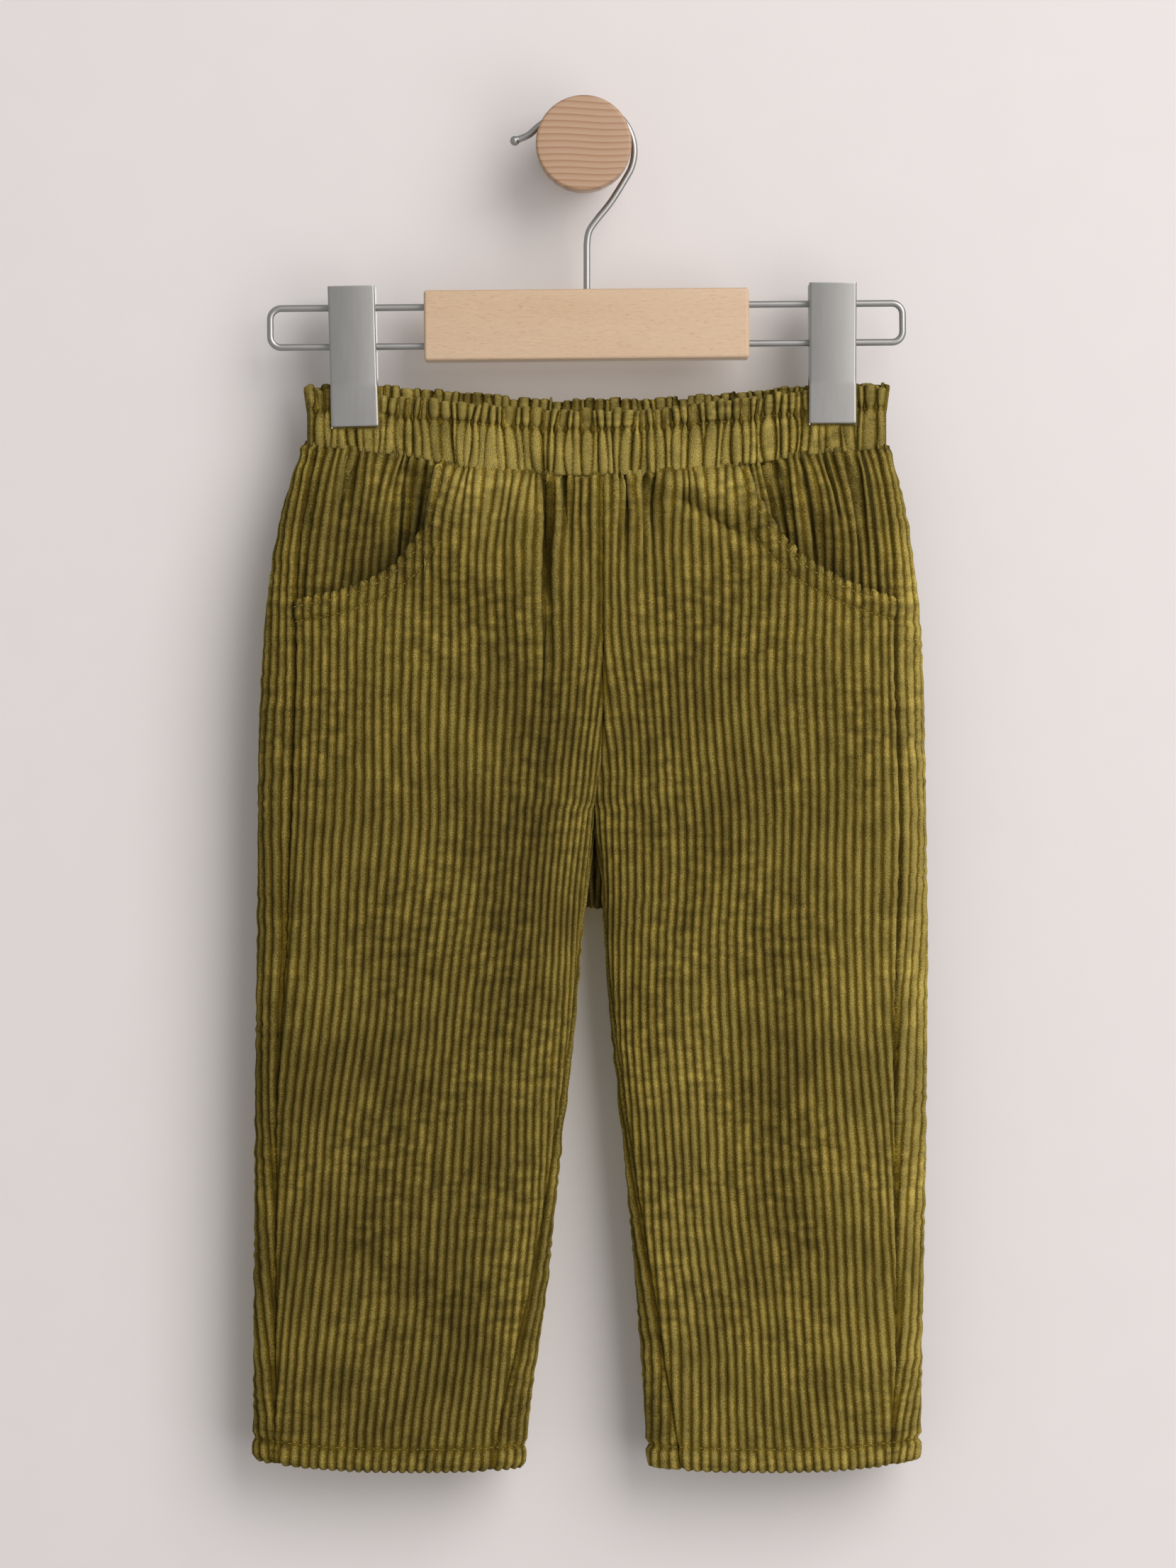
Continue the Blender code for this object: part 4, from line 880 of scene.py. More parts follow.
def laid_pile_and_painted_light(points):
    """How much lighter or darker the colour is on the front, from laid pile and from painted light and
    shade; the back shows less, and the reverse.
    """
    total = np.zeros(len(points))
    for patch in PILE_AND_LIGHT_PATCHES:
        across = (points[:, 0] - patch.x) / patch.reach_x
        up = (points[:, 2] - patch.z) / patch.reach_z
        total += patch.lift * np.exp(-0.5 * (across ** 2 + up ** 2))
    return total * np.where(points[:, 1] < HANG_Y, 1.0, -0.6)


print(len(PILE_AND_LIGHT_PATCHES), "patches of laid pile")

# %% Rows of points, zipped together
Face = namedtuple("Face", "counts points grain run fade relief")
WALE_SAMPLES = np.array([0.0, 0.07, 0.20, 0.36, 0.5, 0.64, 0.80, 0.93])
CLOSEST = 0.25  # points of a row come no nearer than this to its ends


def wale_columns(end):
    """Grain coordinates of points over the ribs, from 0 to an edge, with both edges."""
    ribs = np.arange(int(end / WALE_PITCH) + 1)
    columns = ((ribs[:, None] + WALE_SAMPLES) * WALE_PITCH).ravel()
    return np.append(columns[columns < end - CLOSEST], end)


def zip_rows(a, keys_a, b, keys_b, triangles):
    """Adds triangles between two rows of points, stepping on the row whose next key comes first."""
    a, b, keys_a, keys_b = list(a), list(b), list(keys_a), list(keys_b)
    i = j = 0
    while i < len(a) - 1 or j < len(b) - 1:
        if j == len(b) - 1 or (i < len(a) - 1 and keys_a[i + 1] <= keys_b[j + 1]):
            triangles.append((a[i], a[i + 1], b[j]))
            i += 1
        else:
            triangles.append((a[i], b[j + 1], b[j]))
            j += 1


def shares(keys):
    return (keys - keys[0]) / (keys[-1] - keys[0])


def rows_of(face, first):
    ends = np.cumsum(face.counts)
    return [np.arange(end - count, end) + first for end, count in zip(ends, face.counts)]


print(len(WALE_SAMPLES), "points to a rib of", WALE_PITCH, "mm")

# %% A closed shell of two faces
def sheet_normals(points, triangles, inward):
    """Direction out of the cloth at each point of an open sheet."""
    corners = points[triangles]
    facing = np.cross(corners[:, 1] - corners[:, 0], corners[:, 2] - corners[:, 0])
    normals = np.zeros_like(points)
    for corner in range(3):
        np.add.at(normals, triangles[:, corner], facing)
    normals /= np.linalg.norm(normals, axis=1, keepdims=True) + 1e-12
    return normals * (-1.0 if (normals * inward).sum() > 0 else 1.0)


def shell(name, skin, lining, inward, ridge=None, tone=0.0):
    """Closed mesh of a fine outer face and a coarse inner one; tone lightens or darkens its colour: painted
    shade on the facings, a lighter band.
    """
    skin_rows, lining_rows = rows_of(skin, 0), rows_of(lining, len(skin.points))
    keys, runs = np.append(skin.grain, lining.grain), np.append(skin.run, lining.run)
    triangles = []
    for rows in (skin_rows, lining_rows):
        for upper, lower in zip(rows, rows[1:]):
            zip_rows(upper, keys[upper], lower, keys[lower], triangles)
        if rows is skin_rows:
            skin_count = len(triangles)
    for end in (0, -1):
        top, under = skin_rows[end], lining_rows[end]
        zip_rows(top, shares(keys[top]), under, shares(keys[under]), triangles)
        edge, hidden = [row[end] for row in skin_rows], [row[end] for row in lining_rows]
        zip_rows(edge, runs[edge], hidden, runs[hidden], triangles)
    points = np.concatenate([skin.points, lining.points])
    normals = sheet_normals(skin.points, np.array(triangles[:skin_count]), inward)
    mesh = bpy.data.meshes.new(name)
    mesh.from_pydata((points * MM).tolist(), [], triangles)
    plain = np.zeros(len(lining.points))
    # The pile tone holds laid pile and patches of painted light and shade, plus the tone given to the
    # piece.
    values = {"fade": np.append(skin.fade, plain), "relief": np.append(skin.relief, plain),
              "lining": np.append(np.zeros(len(skin.points)), plain + 1.0),
              "grain": keys, "run": runs, "nap": tone + laid_pile_and_painted_light(points)}
    if ridge is not None:
        values["ridge"] = np.append(ridge, plain)
    for key, numbers in values.items():
        mesh.attributes.new(key, "FLOAT", "POINT").data.foreach_set("value", numbers.astype("f"))
    out = np.concatenate([normals, np.zeros_like(lining.points)]).astype("f")
    mesh.attributes.new("out", "FLOAT_VECTOR", "POINT").data.foreach_set("vector", out.ravel())
    corners = np.empty(len(mesh.loops), int)
    mesh.loops.foreach_get("vertex_index", corners)
    uv = np.stack([keys, runs], axis=1)[corners] * MM
    mesh.uv_layers.new(name="cloth").data.foreach_set("uv", uv.astype("f").ravel())
    turned = bmesh.new()
    turned.from_mesh(mesh)
    bmesh.ops.recalc_face_normals(turned, faces=turned.faces)
    turned.to_mesh(mesh)
    turned.free()
    mesh.shade_smooth()
    return add_object(name, mesh)


print("a shell is closed along all four edges")

# %% Faces of a panel, rolled edges and puckers
def cloth_face(rows, weave, finish, straight_back=0.0):
    """One face of a panel from rows of (grain, level, depth, run). Where straight_back is 1, what
    the finish makes deeper lies back along Y."""
    counts = [len(row[0]) for row in rows]
    grain, level, depth, run = (np.concatenate([row[i] for row in rows]) for i in range(4))
    points = cloth_at(weave, grain, level, depth)
    deeper, fade, relief = finish(grain, level, run, points)
    points = cloth_at(weave, grain, level, depth + deeper * (1 - straight_back))
    points[:, 1] += deeper * straight_back
    return Face(counts, points, grain, run, fade, relief)


def rolled(distance, radius):
    """How far an edge turned under dips behind the face, at a distance from the edge."""
    short = np.clip((radius - distance) / radius, 0.0, 1.0)
    return radius * (1.0 - np.sqrt(1.0 - short ** 2))


def pucker(run, seed):
    """Uneven waves along a seam, where thread and elastic draw the cloth up."""
    return (np.sin(run / 1.9 + 2.1 * np.sin(run / 7.3 + seed) + seed)
            * (0.65 + 0.35 * np.sin(run / 11.7 + 1.7 * seed)))


print("puckers over 5 mm of a seam:", pucker(np.arange(6.0), 0.7).round(2))

# %% Gathers under the waistband
GATHER_RIBS = 70  # more ribs than any panel has
OTHER_SIDE_CLEAR = 0.8  # kept between the cloth and the middle plane


def gather_relief(weave, grain, below, strength):
    """Ribs pushed up or down at random under the waist seam, with creases between some of them."""
    chance = np.random.default_rng(int(10 * weave.seed))
    lift = chance.uniform(-1.1, 0.7, GATHER_RIBS)
    length = chance.uniform(6.0, 32.0, GATHER_RIBS)
    crease = chance.uniform(0.0, 1.0, GATHER_RIBS) ** 2
    below = np.maximum(below, 0.0)
    rib = np.clip(grain / WALE_PITCH - 0.5, 0, GATHER_RIBS - 2)
    left = rib.astype(int)
    right = left + 1
    share = smooth_step(rib - left)
    kept = [lift[i] * np.exp(-(below / length[i]) ** 1.5) for i in (left, right)]
    gap = groove(grain - right * WALE_PITCH, 1.0) * np.exp(-(below / (1.5 * length[right])) ** 2)
    return strength * (kept[0] * (1 - share) + kept[1] * share - 1.7 * crease[right] * gap)


def pushed(weave, grain, below, strength, points):
    """The same, kept clear of the other side of the trousers."""
    room = np.maximum(np.abs(points[:, 1] - HANG_Y) - CORD_WALL - OTHER_SIDE_CLEAR, 0.0)
    return np.maximum(gather_relief(weave, grain, below, strength), -room)


at_band = gather_relief(fronts[SIDES[0]], np.arange(0.0, 140.0), np.zeros(140), 1.0)
print("gathers:", at_band.min().round(1), "to", at_band.max().round(1), "mm")

# %% [markdown]
# ## Fronts and backs
#
# A front starts at the waist seam and, further out, at the curved pocket mouth. Its rows follow that
# edge and spread out below it. At the bottom the cloth turns round the hem and runs up inside. Two
# rows of topstitching hold the pocket edge, one row holds the hem, and each presses the ribs into
# beads. The finish of a panel says where seams pull the cloth in and where the pile is held down.
# Seams that are only drawn on would stay flat in the light, so the points themselves move.

# %% Sizes of edges, rows and seams
ROW_STEP = 2.6
LINING_ROW_STEP = 11.0
UPPER_LINING_ROWS = 30
HEM_ROLL = 1.7  # the hem is folded over this radius
SEAM_ROLL, WAIST_ROLL, MOUTH_ROLL = 1.3, 2.2, 1.5
MOUTH_LIP = 1.9  # how far a pocket edge gapes
EDGE_STEPS = np.array([0.0, 0.25, 0.6, 1.1, 1.8])  # rows close together at the top edge
POCKET_STITCHES = (2.2, 9.0)  # rows of stitches under the pocket edge
STITCH_BITES = (0.45, 0.9)
HEM_STITCH = 9.6  # above the hem's lower edge
SPREAD_LEVEL = -262.0  # down to here the rows still follow the top edge
SEAM_GRIP = 0.9  # depth to which a seam draws the cloth
SEAM_SINK = 1.6  # and how far its inner face gives way there
FRONT_SEAM_SHARE = 0.5  # the front seam is pressed flatter
WAIST_TUCK = 2.2  # raw top edges go up behind the waistband
END_SCALLOP = 0.9  # rib ends stand proud of the valleys between them
seeds = {("front", "left"): 0.7, ("front", "right"): 2.9, ("back", "left"): 4.4, ("back", "right"): 5.8}
print("stitches", HEM_STITCH, "mm above the hem")

# %% The curved pocket edge
def mouth_height(side, x):
    return read(POCKET_EDGE, side.name + "_x", side.name + "_z", x)


def mouth_start(side):
    return abs(getattr(POCKET_EDGE[0], side.name + "_x"))


def mouth_curve(side):
    """Pocket edge as a fine line in x and z."""
    last = abs(getattr(POCKET_EDGE[-1], side.name + "_x"))
    x = side.sign * np.linspace(mouth_start(side), last, 240)
    return np.stack([x, mouth_height(side, x)], axis=1)


def mouth_distance(side, points):
    """Distance of points, seen from the front, to the pocket edge."""
    line = mouth_curve(side)
    away = [np.hypot(points[:, 0] - x, points[:, 2] - z) for x, z in line]
    return np.min(away, axis=0)


def front_top(side, columns):
    """Level at which each column of a front starts: the waist seam or the pocket edge."""
    weave, tops = fronts[side], []
    levels = np.linspace(WAIST_LEVEL, POCKET_END - 0.01, 150)
    for grain in columns:
        points = cloth_at(weave, np.full(len(levels), grain), levels)
        above = points[:, 2] > mouth_height(side, points[:, 0])
        cut = (side.sign * points[:, 0] > mouth_start(side)) & above
        tops.append(levels[cut][-1] if cut.any() else WAIST_LEVEL)
    return np.array(tops)


print("the left pocket edge is", lengths_along(mouth_curve(SIDES[0]))[-1].round(), "mm long")

# %% Rows of a panel
def steps(start, stop, step):
    return np.linspace(start, stop, max(2, round(abs(stop - start) / step) + 1))


def trimmed(columns, start, end):
    inside = columns[(columns > start + CLOSEST) & (columns < end - CLOSEST)]
    return np.concatenate([[start], inside, [end]])


def level_row(grain, level, depth):
    return grain, *(np.full(len(grain), value) for value in (level, depth, -level))


def panel_rows(weave, columns, tops):
    """Fine rows of a panel from its top edge down, round the hem and up inside."""
    rows = []

    def add(grain_level, depth, extra=0.0):
        start = edges_at(weave, grain_level[0])[0]
        end = edges_at(weave, grain_level[-1])[1]
        grain = trimmed(columns, start, end)
        level = np.interp(grain, columns, grain_level)
        rows.append((grain, level, np.full(len(grain), depth), -level + extra))

    flat = np.ones(len(columns))
    for below in EDGE_STEPS:
        add(tops - below, 0.0)
    for share in np.linspace(0, 1, round((WAIST_LEVEL - SPREAD_LEVEL) / ROW_STEP))[1:]:
        first = tops - EDGE_STEPS[-1]
        add(first + share * (SPREAD_LEVEL - first), 0.0)
    for level in steps(SPREAD_LEVEL, HEM_LEVEL + HEM_ROLL, ROW_STEP)[1:]:
        add(flat * level, 0.0)
    for angle in radians(90) * np.array([0.4, 0.8, 1.2, 1.6, 2.0]):
        level = HEM_LEVEL + HEM_ROLL * (1 - sin(angle))
        add(flat * level, HEM_ROLL * (1 - cos(angle)), 2 * HEM_ROLL * angle - HEM_ROLL * (1 - sin(angle)))
    turned = HEM_LEVEL + HEM_ROLL
    for level in steps(turned, HEM_LEVEL + HEM_HEIGHT, 4.0)[1:]:
        add(flat * level, 2 * HEM_ROLL, HEM_ROLL * pi + 2 * (level - turned))
    return rows


def lining_rows_of(weave, columns, tops):
    """Rows of the inner face: fine above, where folds are sharp, and coarse below. The first has
    the columns of the top edge."""
    rows = [(columns, tops, np.full(len(columns), CORD_WALL), -tops)]
    for share in np.linspace(0, 1, UPPER_LINING_ROWS)[1:]:
        some = columns[::2] if share < 0.7 else columns[::8]
        first = np.interp(some, columns, tops)
        level = first + share * (SPREAD_LEVEL - first)
        grain = trimmed(some, edges_at(weave, level[0])[0], edges_at(weave, level[-1])[1])
        level = np.interp(grain, some, level)
        rows.append((grain, level, np.full(len(grain), CORD_WALL), -level))
    for level in steps(SPREAD_LEVEL, HEM_LEVEL + HEM_HEIGHT, LINING_ROW_STEP)[1:]:
        rows.append(level_row(trimmed(columns[::8], *edges_at(weave, level)), level, CORD_WALL))
    return rows


print("rows every", ROW_STEP, "mm outside,", LINING_ROW_STEP, "mm inside")

# %% The finish of a panel
def waist_gathers(side, weave, is_front, grain, level, points):
    """Ribs pushed up and down under the waist seam: hardly any where a front lies smooth."""
    strength = 1.0
    if is_front:
        smooth_from = 18.0 if side.name == "left" else 30.0
        strength = 1.7 - 1.5 * smooth_step((side.sign * points[:, 0] - smooth_from) / 6.0)
    return pushed(weave, grain, WAIST_LEVEL - level, strength, points)


def panel_finish(side, weave, is_front):
    seed = seeds["front" if is_front else "back", side.name]

    def finish(grain, level, run, points):
        start, end = edges_at(weave, level)
        to_side, to_centre = grain - start, end - grain
        to_waist = WAIST_LEVEL - level
        pressed = FRONT_SEAM_SHARE if is_front else 1.0
        deeper = rolled(to_side, SEAM_ROLL) + pressed * rolled(to_centre, SEAM_ROLL)
        fade = (1 - 0.5 * groove(to_side, 1.2)) * (1 - 0.5 * groove(to_centre, 1.2))
        easing = 1 - 0.75 * groove(run + HEM_LEVEL + HEM_HEIGHT / 2, 16.0)  # near the hem
        grip = SEAM_GRIP * easing * (groove(to_side, 2.2) + pressed * groove(to_centre, 2.2))
        deeper = deeper * easing
        relief = pucker(run, seed) * (0.45 * groove(to_side, 4.5) + 0.3 * groove(to_centre, 4.0)) - grip
        if not is_front:
            waves = groove(to_side - 9.0, 13.0) + groove(to_centre - 8.0, 12.0) * (level < CROTCH_FRONT)
            relief = relief + 0.5 * pucker(1.35 * run, seed + 2.0) * waves
        waist_roll = rolled(to_waist, WAIST_ROLL)
        to_hem = run + HEM_LEVEL
        stitch = groove(to_hem + HEM_STITCH, 1.1)
        outside = to_hem < 0
        fade = fade * np.where(outside, 1 - 0.35 * stitch, 1.0)
        relief = relief + np.where(outside, -0.85 * stitch + 0.45 * groove(to_hem + 4.5, 3.0), 0.0)
        relief = relief + 0.45 * pucker(grain * 1.4, seed + 1.0) * groove(to_hem + HEM_STITCH - 1.0, 7.0)
        relief = relief + waist_gathers(side, weave, is_front, grain, level, points)
        if is_front:
            edge = mouth_distance(side, points)
            on_mouth = smooth_step((side.sign * points[:, 0] - mouth_start(side) + 1.0) / 1.5)
            waist_roll = waist_roll * (1 - on_mouth)
            deeper = deeper + on_mouth * rolled(edge, MOUTH_ROLL)
            relief = relief + on_mouth * MOUTH_LIP * groove(edge - 3.0, 5.0)
            for row, bite in zip(POCKET_STITCHES, STITCH_BITES):
                relief = relief - on_mouth * groove(edge - row, 0.9) * bite
                fade = fade * (1 - 0.3 * on_mouth * groove(edge - row, 0.9) * bite)
        return deeper + waist_roll, fade, relief

    return finish


print("a seam draws the cloth", SEAM_GRIP, "mm in")

# %% Make the four panels
def make_panel(side, is_front):
    weave = (fronts if is_front else backs)[side]
    widest = float(weave.ends.max())
    columns = trimmed(wale_columns(widest), 0.0, widest)
    tops = front_top(side, columns) if is_front else np.full(len(columns), WAIST_LEVEL)
    tops = tops - END_SCALLOP * (1 - rib_round(columns)) * np.where(tops < WAIST_LEVEL, 1.6, 1.0)
    skin = cloth_face(panel_rows(weave, columns, tops), weave, panel_finish(side, weave, is_front))
    top_columns = trimmed(columns, 0.0, float(weave.ends[0]))
    top_levels = np.interp(top_columns, columns, tops)

    def under(grain, level, _, points):
        plain = np.zeros(len(grain))
        sunk = waist_gathers(side, weave, is_front, grain, level, points)
        start, end = edges_at(weave, level)
        at_seam = groove(np.minimum(grain - start, end - grain), 3.5)
        return np.maximum(-sunk, 0.0) + SEAM_SINK * at_seam, plain, plain

    lining = cloth_face(lining_rows_of(weave, top_columns, top_levels), weave, under)
    for face in (skin, lining):
        first = face.counts[0]
        at_waist = np.interp(face.grain[:first], columns, tops) > WAIST_LEVEL - 1.5
        face.points[:first, 2] += WAIST_TUCK * at_waist
    kind = "front" if is_front else "back"
    inward = np.array([0.0, 1.0 if is_front else -1.0, 0.0])
    piece = shell(f"{kind}_{side.name}_cord", skin, lining, inward)
    return with_ribs(piece, seeds[kind, side.name])


panels = {}
for side in SIDES:
    for kind in ("front", "back"):
        panels[kind, side.name] = make_panel(side, kind == "front")
        print(kind, side.name, len(panels[kind, side.name].data.polygons), "triangles")

# %% [markdown]
# ## Facings behind the pocket mouths
#
# The hip shows a second layer of cord behind each curved edge. It lies deeper near the mouth and
# comes level with the front further up, where both are sewn into the waist seam. It shares the
# front's map, so its ribs line up with the front's, and only its depth differs.

# %% Where a facing lies
FACING_WALL = 1.4
FACING_RECESS = 6.5
FACING_UNDER_RECESS = 2.8  # well under the front, against which it lies again
FACING_SEAM_RECESS = 2.2  # at the side seam, under the front
FACING_SEAM_STEP = 0.5  # and there above the pocket's mouth
FACING_MARGIN = 3.0  # full recess up to here above the pocket's mouth
FACING_BLEND = 36.0  # over this further distance the facing comes nearer to level
FACING_TOP_SHARE = 0.30
FACING_WAIST_BLEND = 13.0  # and over this distance under the waist seam quite level
FACING_REACH = 55.0  # from the middle of the trousers to its inner edge
FACING_TAPER_LEVEL = -168.0  # below here that edge runs outwards,
FACING_TAPER = 42.0  # by this much at the bottom
FACING_SEAM_SETBACK = 0.1
FACING_WIDEST = 100.0  # no facing is wider than this across its ribs
FACING_ROW_STEP = 2.0
# painted shade: how much darker the recessed facings are all over
FACING_PAINTED_SHADE = -0.06


def facing_span(side, level):
    """Grain coordinates of a facing's two edges at a level."""
    outline = ring(side, level, float(level <= CROTCH_FRONT))
    seam = side_seam_length(side, level, outline)
    start, end = edges_at(fronts[side], level)
    scale = (end - start) / (seam - inseam_start(level))
    tapered = (FACING_TAPER_LEVEL - level) / (FACING_TAPER_LEVEL - FACING_BOTTOM)
    under = FACING_REACH + FACING_TAPER * float(smooth_step(tapered))
    return FACING_SEAM_SETBACK * scale, (seam - length_at(outline, under)) * scale


def facing_depth(side, level, points):
    """How deep the facing lies under the front's outer face."""
    beside = side.sign * points[:, 0] - mouth_start(side)
    above = np.minimum(points[:, 2] - mouth_height(side, points[:, 0]), beside)
    seam = getattr(SECTIONS[3], side.name + "_seam")
    from_seam = smooth_step(np.abs(points[:, 0] - seam) / 30.0)
    at_seam = FACING_SEAM_RECESS + (FACING_SEAM_STEP - FACING_SEAM_RECESS) * smooth_step(above / 8.0)
    recess = at_seam + (FACING_RECESS - at_seam) * from_seam
    recess = recess * (1.0 - (1 - FACING_TOP_SHARE) * smooth_step((above - FACING_MARGIN) / FACING_BLEND))
    recess = recess + (FACING_UNDER_RECESS - recess) * smooth_step((-above - 3.0) / 9.0) * from_seam
    near_waist = 1.0 - smooth_step((WAIST_LEVEL - level) / FACING_WAIST_BLEND)
    return recess * (1.0 - near_waist * smooth_step((beside + 1.5) / 2.0))


def facing_painted_shade(side, *faces):
    """Painted shade on a facing: darker all over where it lies recessed behind the front, and most of all
    near the mouth.
    """
    points = np.concatenate([face.points for face in faces])
    return FACING_PAINTED_SHADE - 0.28 * groove(mouth_distance(side, points), 13.0)


print("the left facing is", round(np.ptp(facing_span(SIDES[0], WAIST_LEVEL))), "mm wide")

# %% Make the facings
def facing_rows(side, columns, levels, depth):
    return [level_row(trimmed(columns, *facing_span(side, level)), level, depth) for level in levels]


def kept_in_front(face, behind):
    """Keeps a facing before the middle plane, where the cloth of the back begins."""
    points = face.points.copy()
    points[:, 1] = np.minimum(points[:, 1], HANG_Y - behind)
    return face._replace(points=points, relief=np.maximum(face.relief, points[:, 1] - HANG_Y + behind))


def make_facing(side):
    weave = fronts[side]
    columns = wale_columns(FACING_WIDEST)
    seed = 8.1 + side.sign

    def gathers(grain, level, points):
        return pushed(weave, grain, 0.4 * (WAIST_LEVEL - level), 1.7, points)

    def finish(grain, level, run, points):
        near = grain - FACING_SEAM_SETBACK
        relief = 0.45 * pucker(run, seed) * groove(near, 4.5) - SEAM_GRIP * groove(near, 2.2)
        relief = relief + gathers(grain, level, points)
        deeper = facing_depth(side, level, points) + 0.4 * rolled(near, SEAM_ROLL)
        deeper = deeper + rolled(WAIST_LEVEL - level, WAIST_ROLL)
        return deeper, 1 - 0.5 * groove(near, 1.2), relief

    def under(grain, level, _, points):
        plain = np.zeros(len(grain))
        sunk = np.maximum(-gathers(grain, level, points), 0.0)
        sunk = sunk + SEAM_SINK * groove(grain - FACING_SEAM_SETBACK, 3.5)
        return facing_depth(side, level, points) + sunk, plain, plain

    levels = np.append(WAIST_LEVEL - EDGE_STEPS, steps(WAIST_LEVEL - 4.0, FACING_BOTTOM, FACING_ROW_STEP))
    skin = cloth_face(facing_rows(side, columns, levels, 0.0), weave, finish, 1.0)
    lining = cloth_face(facing_rows(side, columns[::2], levels, FACING_WALL), weave, under, 1.0)
    skin, lining = kept_in_front(skin, FACING_WALL + 0.6), kept_in_front(lining, 0.5)
    for face in (skin, lining):
        face.points[:face.counts[0], 2] += WAIST_TUCK
    piece = shell(f"pocket_facing_{side.name}_cord", skin, lining, np.array([0.0, 1.0, 0.0]),
                  tone=facing_painted_shade(side, skin, lining))
    return with_ribs(piece, seed)


facings = {side.name: make_facing(side) for side in SIDES}
print("facings:", *(len(piece.data.polygons) for piece in facings.values()), "triangles")

# %% [markdown]
# ## The gathered waistband
#
# Elastic draws the doubled cord together, so its ribs crowd into tubes with deep creases between
# them. Above the stitch line stands a frilled heading, below it a band. Creases wander, lean and
# run into each other. Under the jaws of the clips they are pressed flat. The tubes differ too much
# to be raised by the tree of the ribs, so each row of points is shaped here.

# %% Sizes of the band and places of the clips
Clip = namedtuple("Clip", "name x foot roll")
CLIPS = [Clip("clip_left", -105.6, -129.3, -1.4), Clip("clip_right", 114.9, -127.8, 0.0)]
CLIP_WIDTH = 21.7
CLIP_PRESS_MARGIN, CLIP_PRESS_FADE = 0.2, 2.0  # beside a jaw
CLIP_RELEASE = 3.0  # below a jaw the gathers come back over this distance
BAND_END_FADE = 2.5
BAND_TAPER = 1.6  # the frill flares this much beyond the band at each end
BAND_COLUMNS = 700
TOP_ROLL, FOOT_ROLL = 1.5, 1.3
FRILL_SIZE, BAND_SIZE = 10.0, 20.0  # share 0 is the top edge, 1 the stitches, 2 the waist seam
FRILL_INNER_ROWS = 12
PINCH_REACH = 1.0  # of the stitches
BAND_OVERLAP = -0.3  # where the halves meet at the side seams they lap over each other
BAND_TONE = 0.13  # the band's colour is made lighter all over
# painted light: the frill's colour is lifted against the shade that falls on its lower half
FRILL_PAINTED_LIGHT = 0.10
print("clips", CLIPS[1].x - CLIPS[0].x, "mm apart")

# %% Pressed and free parts of the band
def clip_free(x, z):
    """1 away from the clips, 0 where a jaw presses the gathers flat."""
    free = np.ones_like(x)
    for clip in CLIPS:
        beside = np.abs(x - clip.x) - CLIP_WIDTH / 2 - CLIP_PRESS_MARGIN
        under = smooth_step((z - clip.foot + CLIP_RELEASE) / CLIP_RELEASE)
        free = free * (1 - under * (1 - smooth_step(beside / CLIP_PRESS_FADE)))
    return free


def band_height(face, share, x):
    top, stitch, seam = (read(BAND, "x", face + name, x) for name in ("_top", "_stitch", "_seam"))
    return np.where(share <= 1, top + (stitch - top) * share, stitch + (seam - stitch) * (share - 1))


print("beside a clip:", clip_free(CLIPS[0].x + np.arange(9.0, 15.0), CLIPS[0].foot + 5).round(2))

# %% Random gathers
# Per wale: where it starts at the stitches, how far that edge moves up to the top and down to the
# waist seam, and how it bows; lifts, gaps beside it, depth of its pinch, its rise and its phase.
Wales = namedtuple("Wales", "at top lean bow frill band frill_gap band_gap pinch rise phase")


def crowd(face):
    """Random gathers of one half: each wale of the cord crowds into a tube of its own."""
    chance = np.random.default_rng(41 if face == "front" else 57)
    widths = chance.choice([2.4, 3.2, 4.2, 5.6], 110, p=[0.20, 0.38, 0.29, 0.13])
    at = BAND_CENTRE - BAND_HALF_WIDTH + np.append(0.0, np.cumsum(widths))
    count = len(at)

    def wandering(spread, kept):
        values = np.zeros(count)
        for i in range(1, count):
            values[i] = kept * values[i - 1] + chance.normal(0.0, spread)
        return values

    frill = chance.choice([1.2, 0.2, -1.5], count, p=[0.42, 0.34, 0.24])
    band = 0.4 * frill + chance.choice([0.8, 0.1, -1.0], count, p=[0.36, 0.40, 0.24])
    return Wales(at, wandering(0.7, 0.5), wandering(0.9, 0.6), chance.normal(0.0, 0.5, count), frill, band,
                 1.6 + 2.8 * chance.random(count) ** 1.4, 0.8 + 2.6 * chance.random(count) ** 1.5,
                 chance.uniform(0.5, 1.9, count), chance.normal(0.0, 0.6, count),
                 chance.uniform(0.0, tau, count))


print("tubes in front:", np.sum(crowd("front").at < BAND_CENTRE + BAND_HALF_WIDTH))

# %% The relief of the tubes
def from_stitches(share):
    """How many mm a row lies below the stitches; the frill lies above them."""
    return (FRILL_SIZE if share < 1 else BAND_SIZE) * (share - 1.0)


def rounded(share, squareness):
    return (1 - np.abs(2 * np.clip(share, 0, 1) - 1) ** squareness) ** 0.6


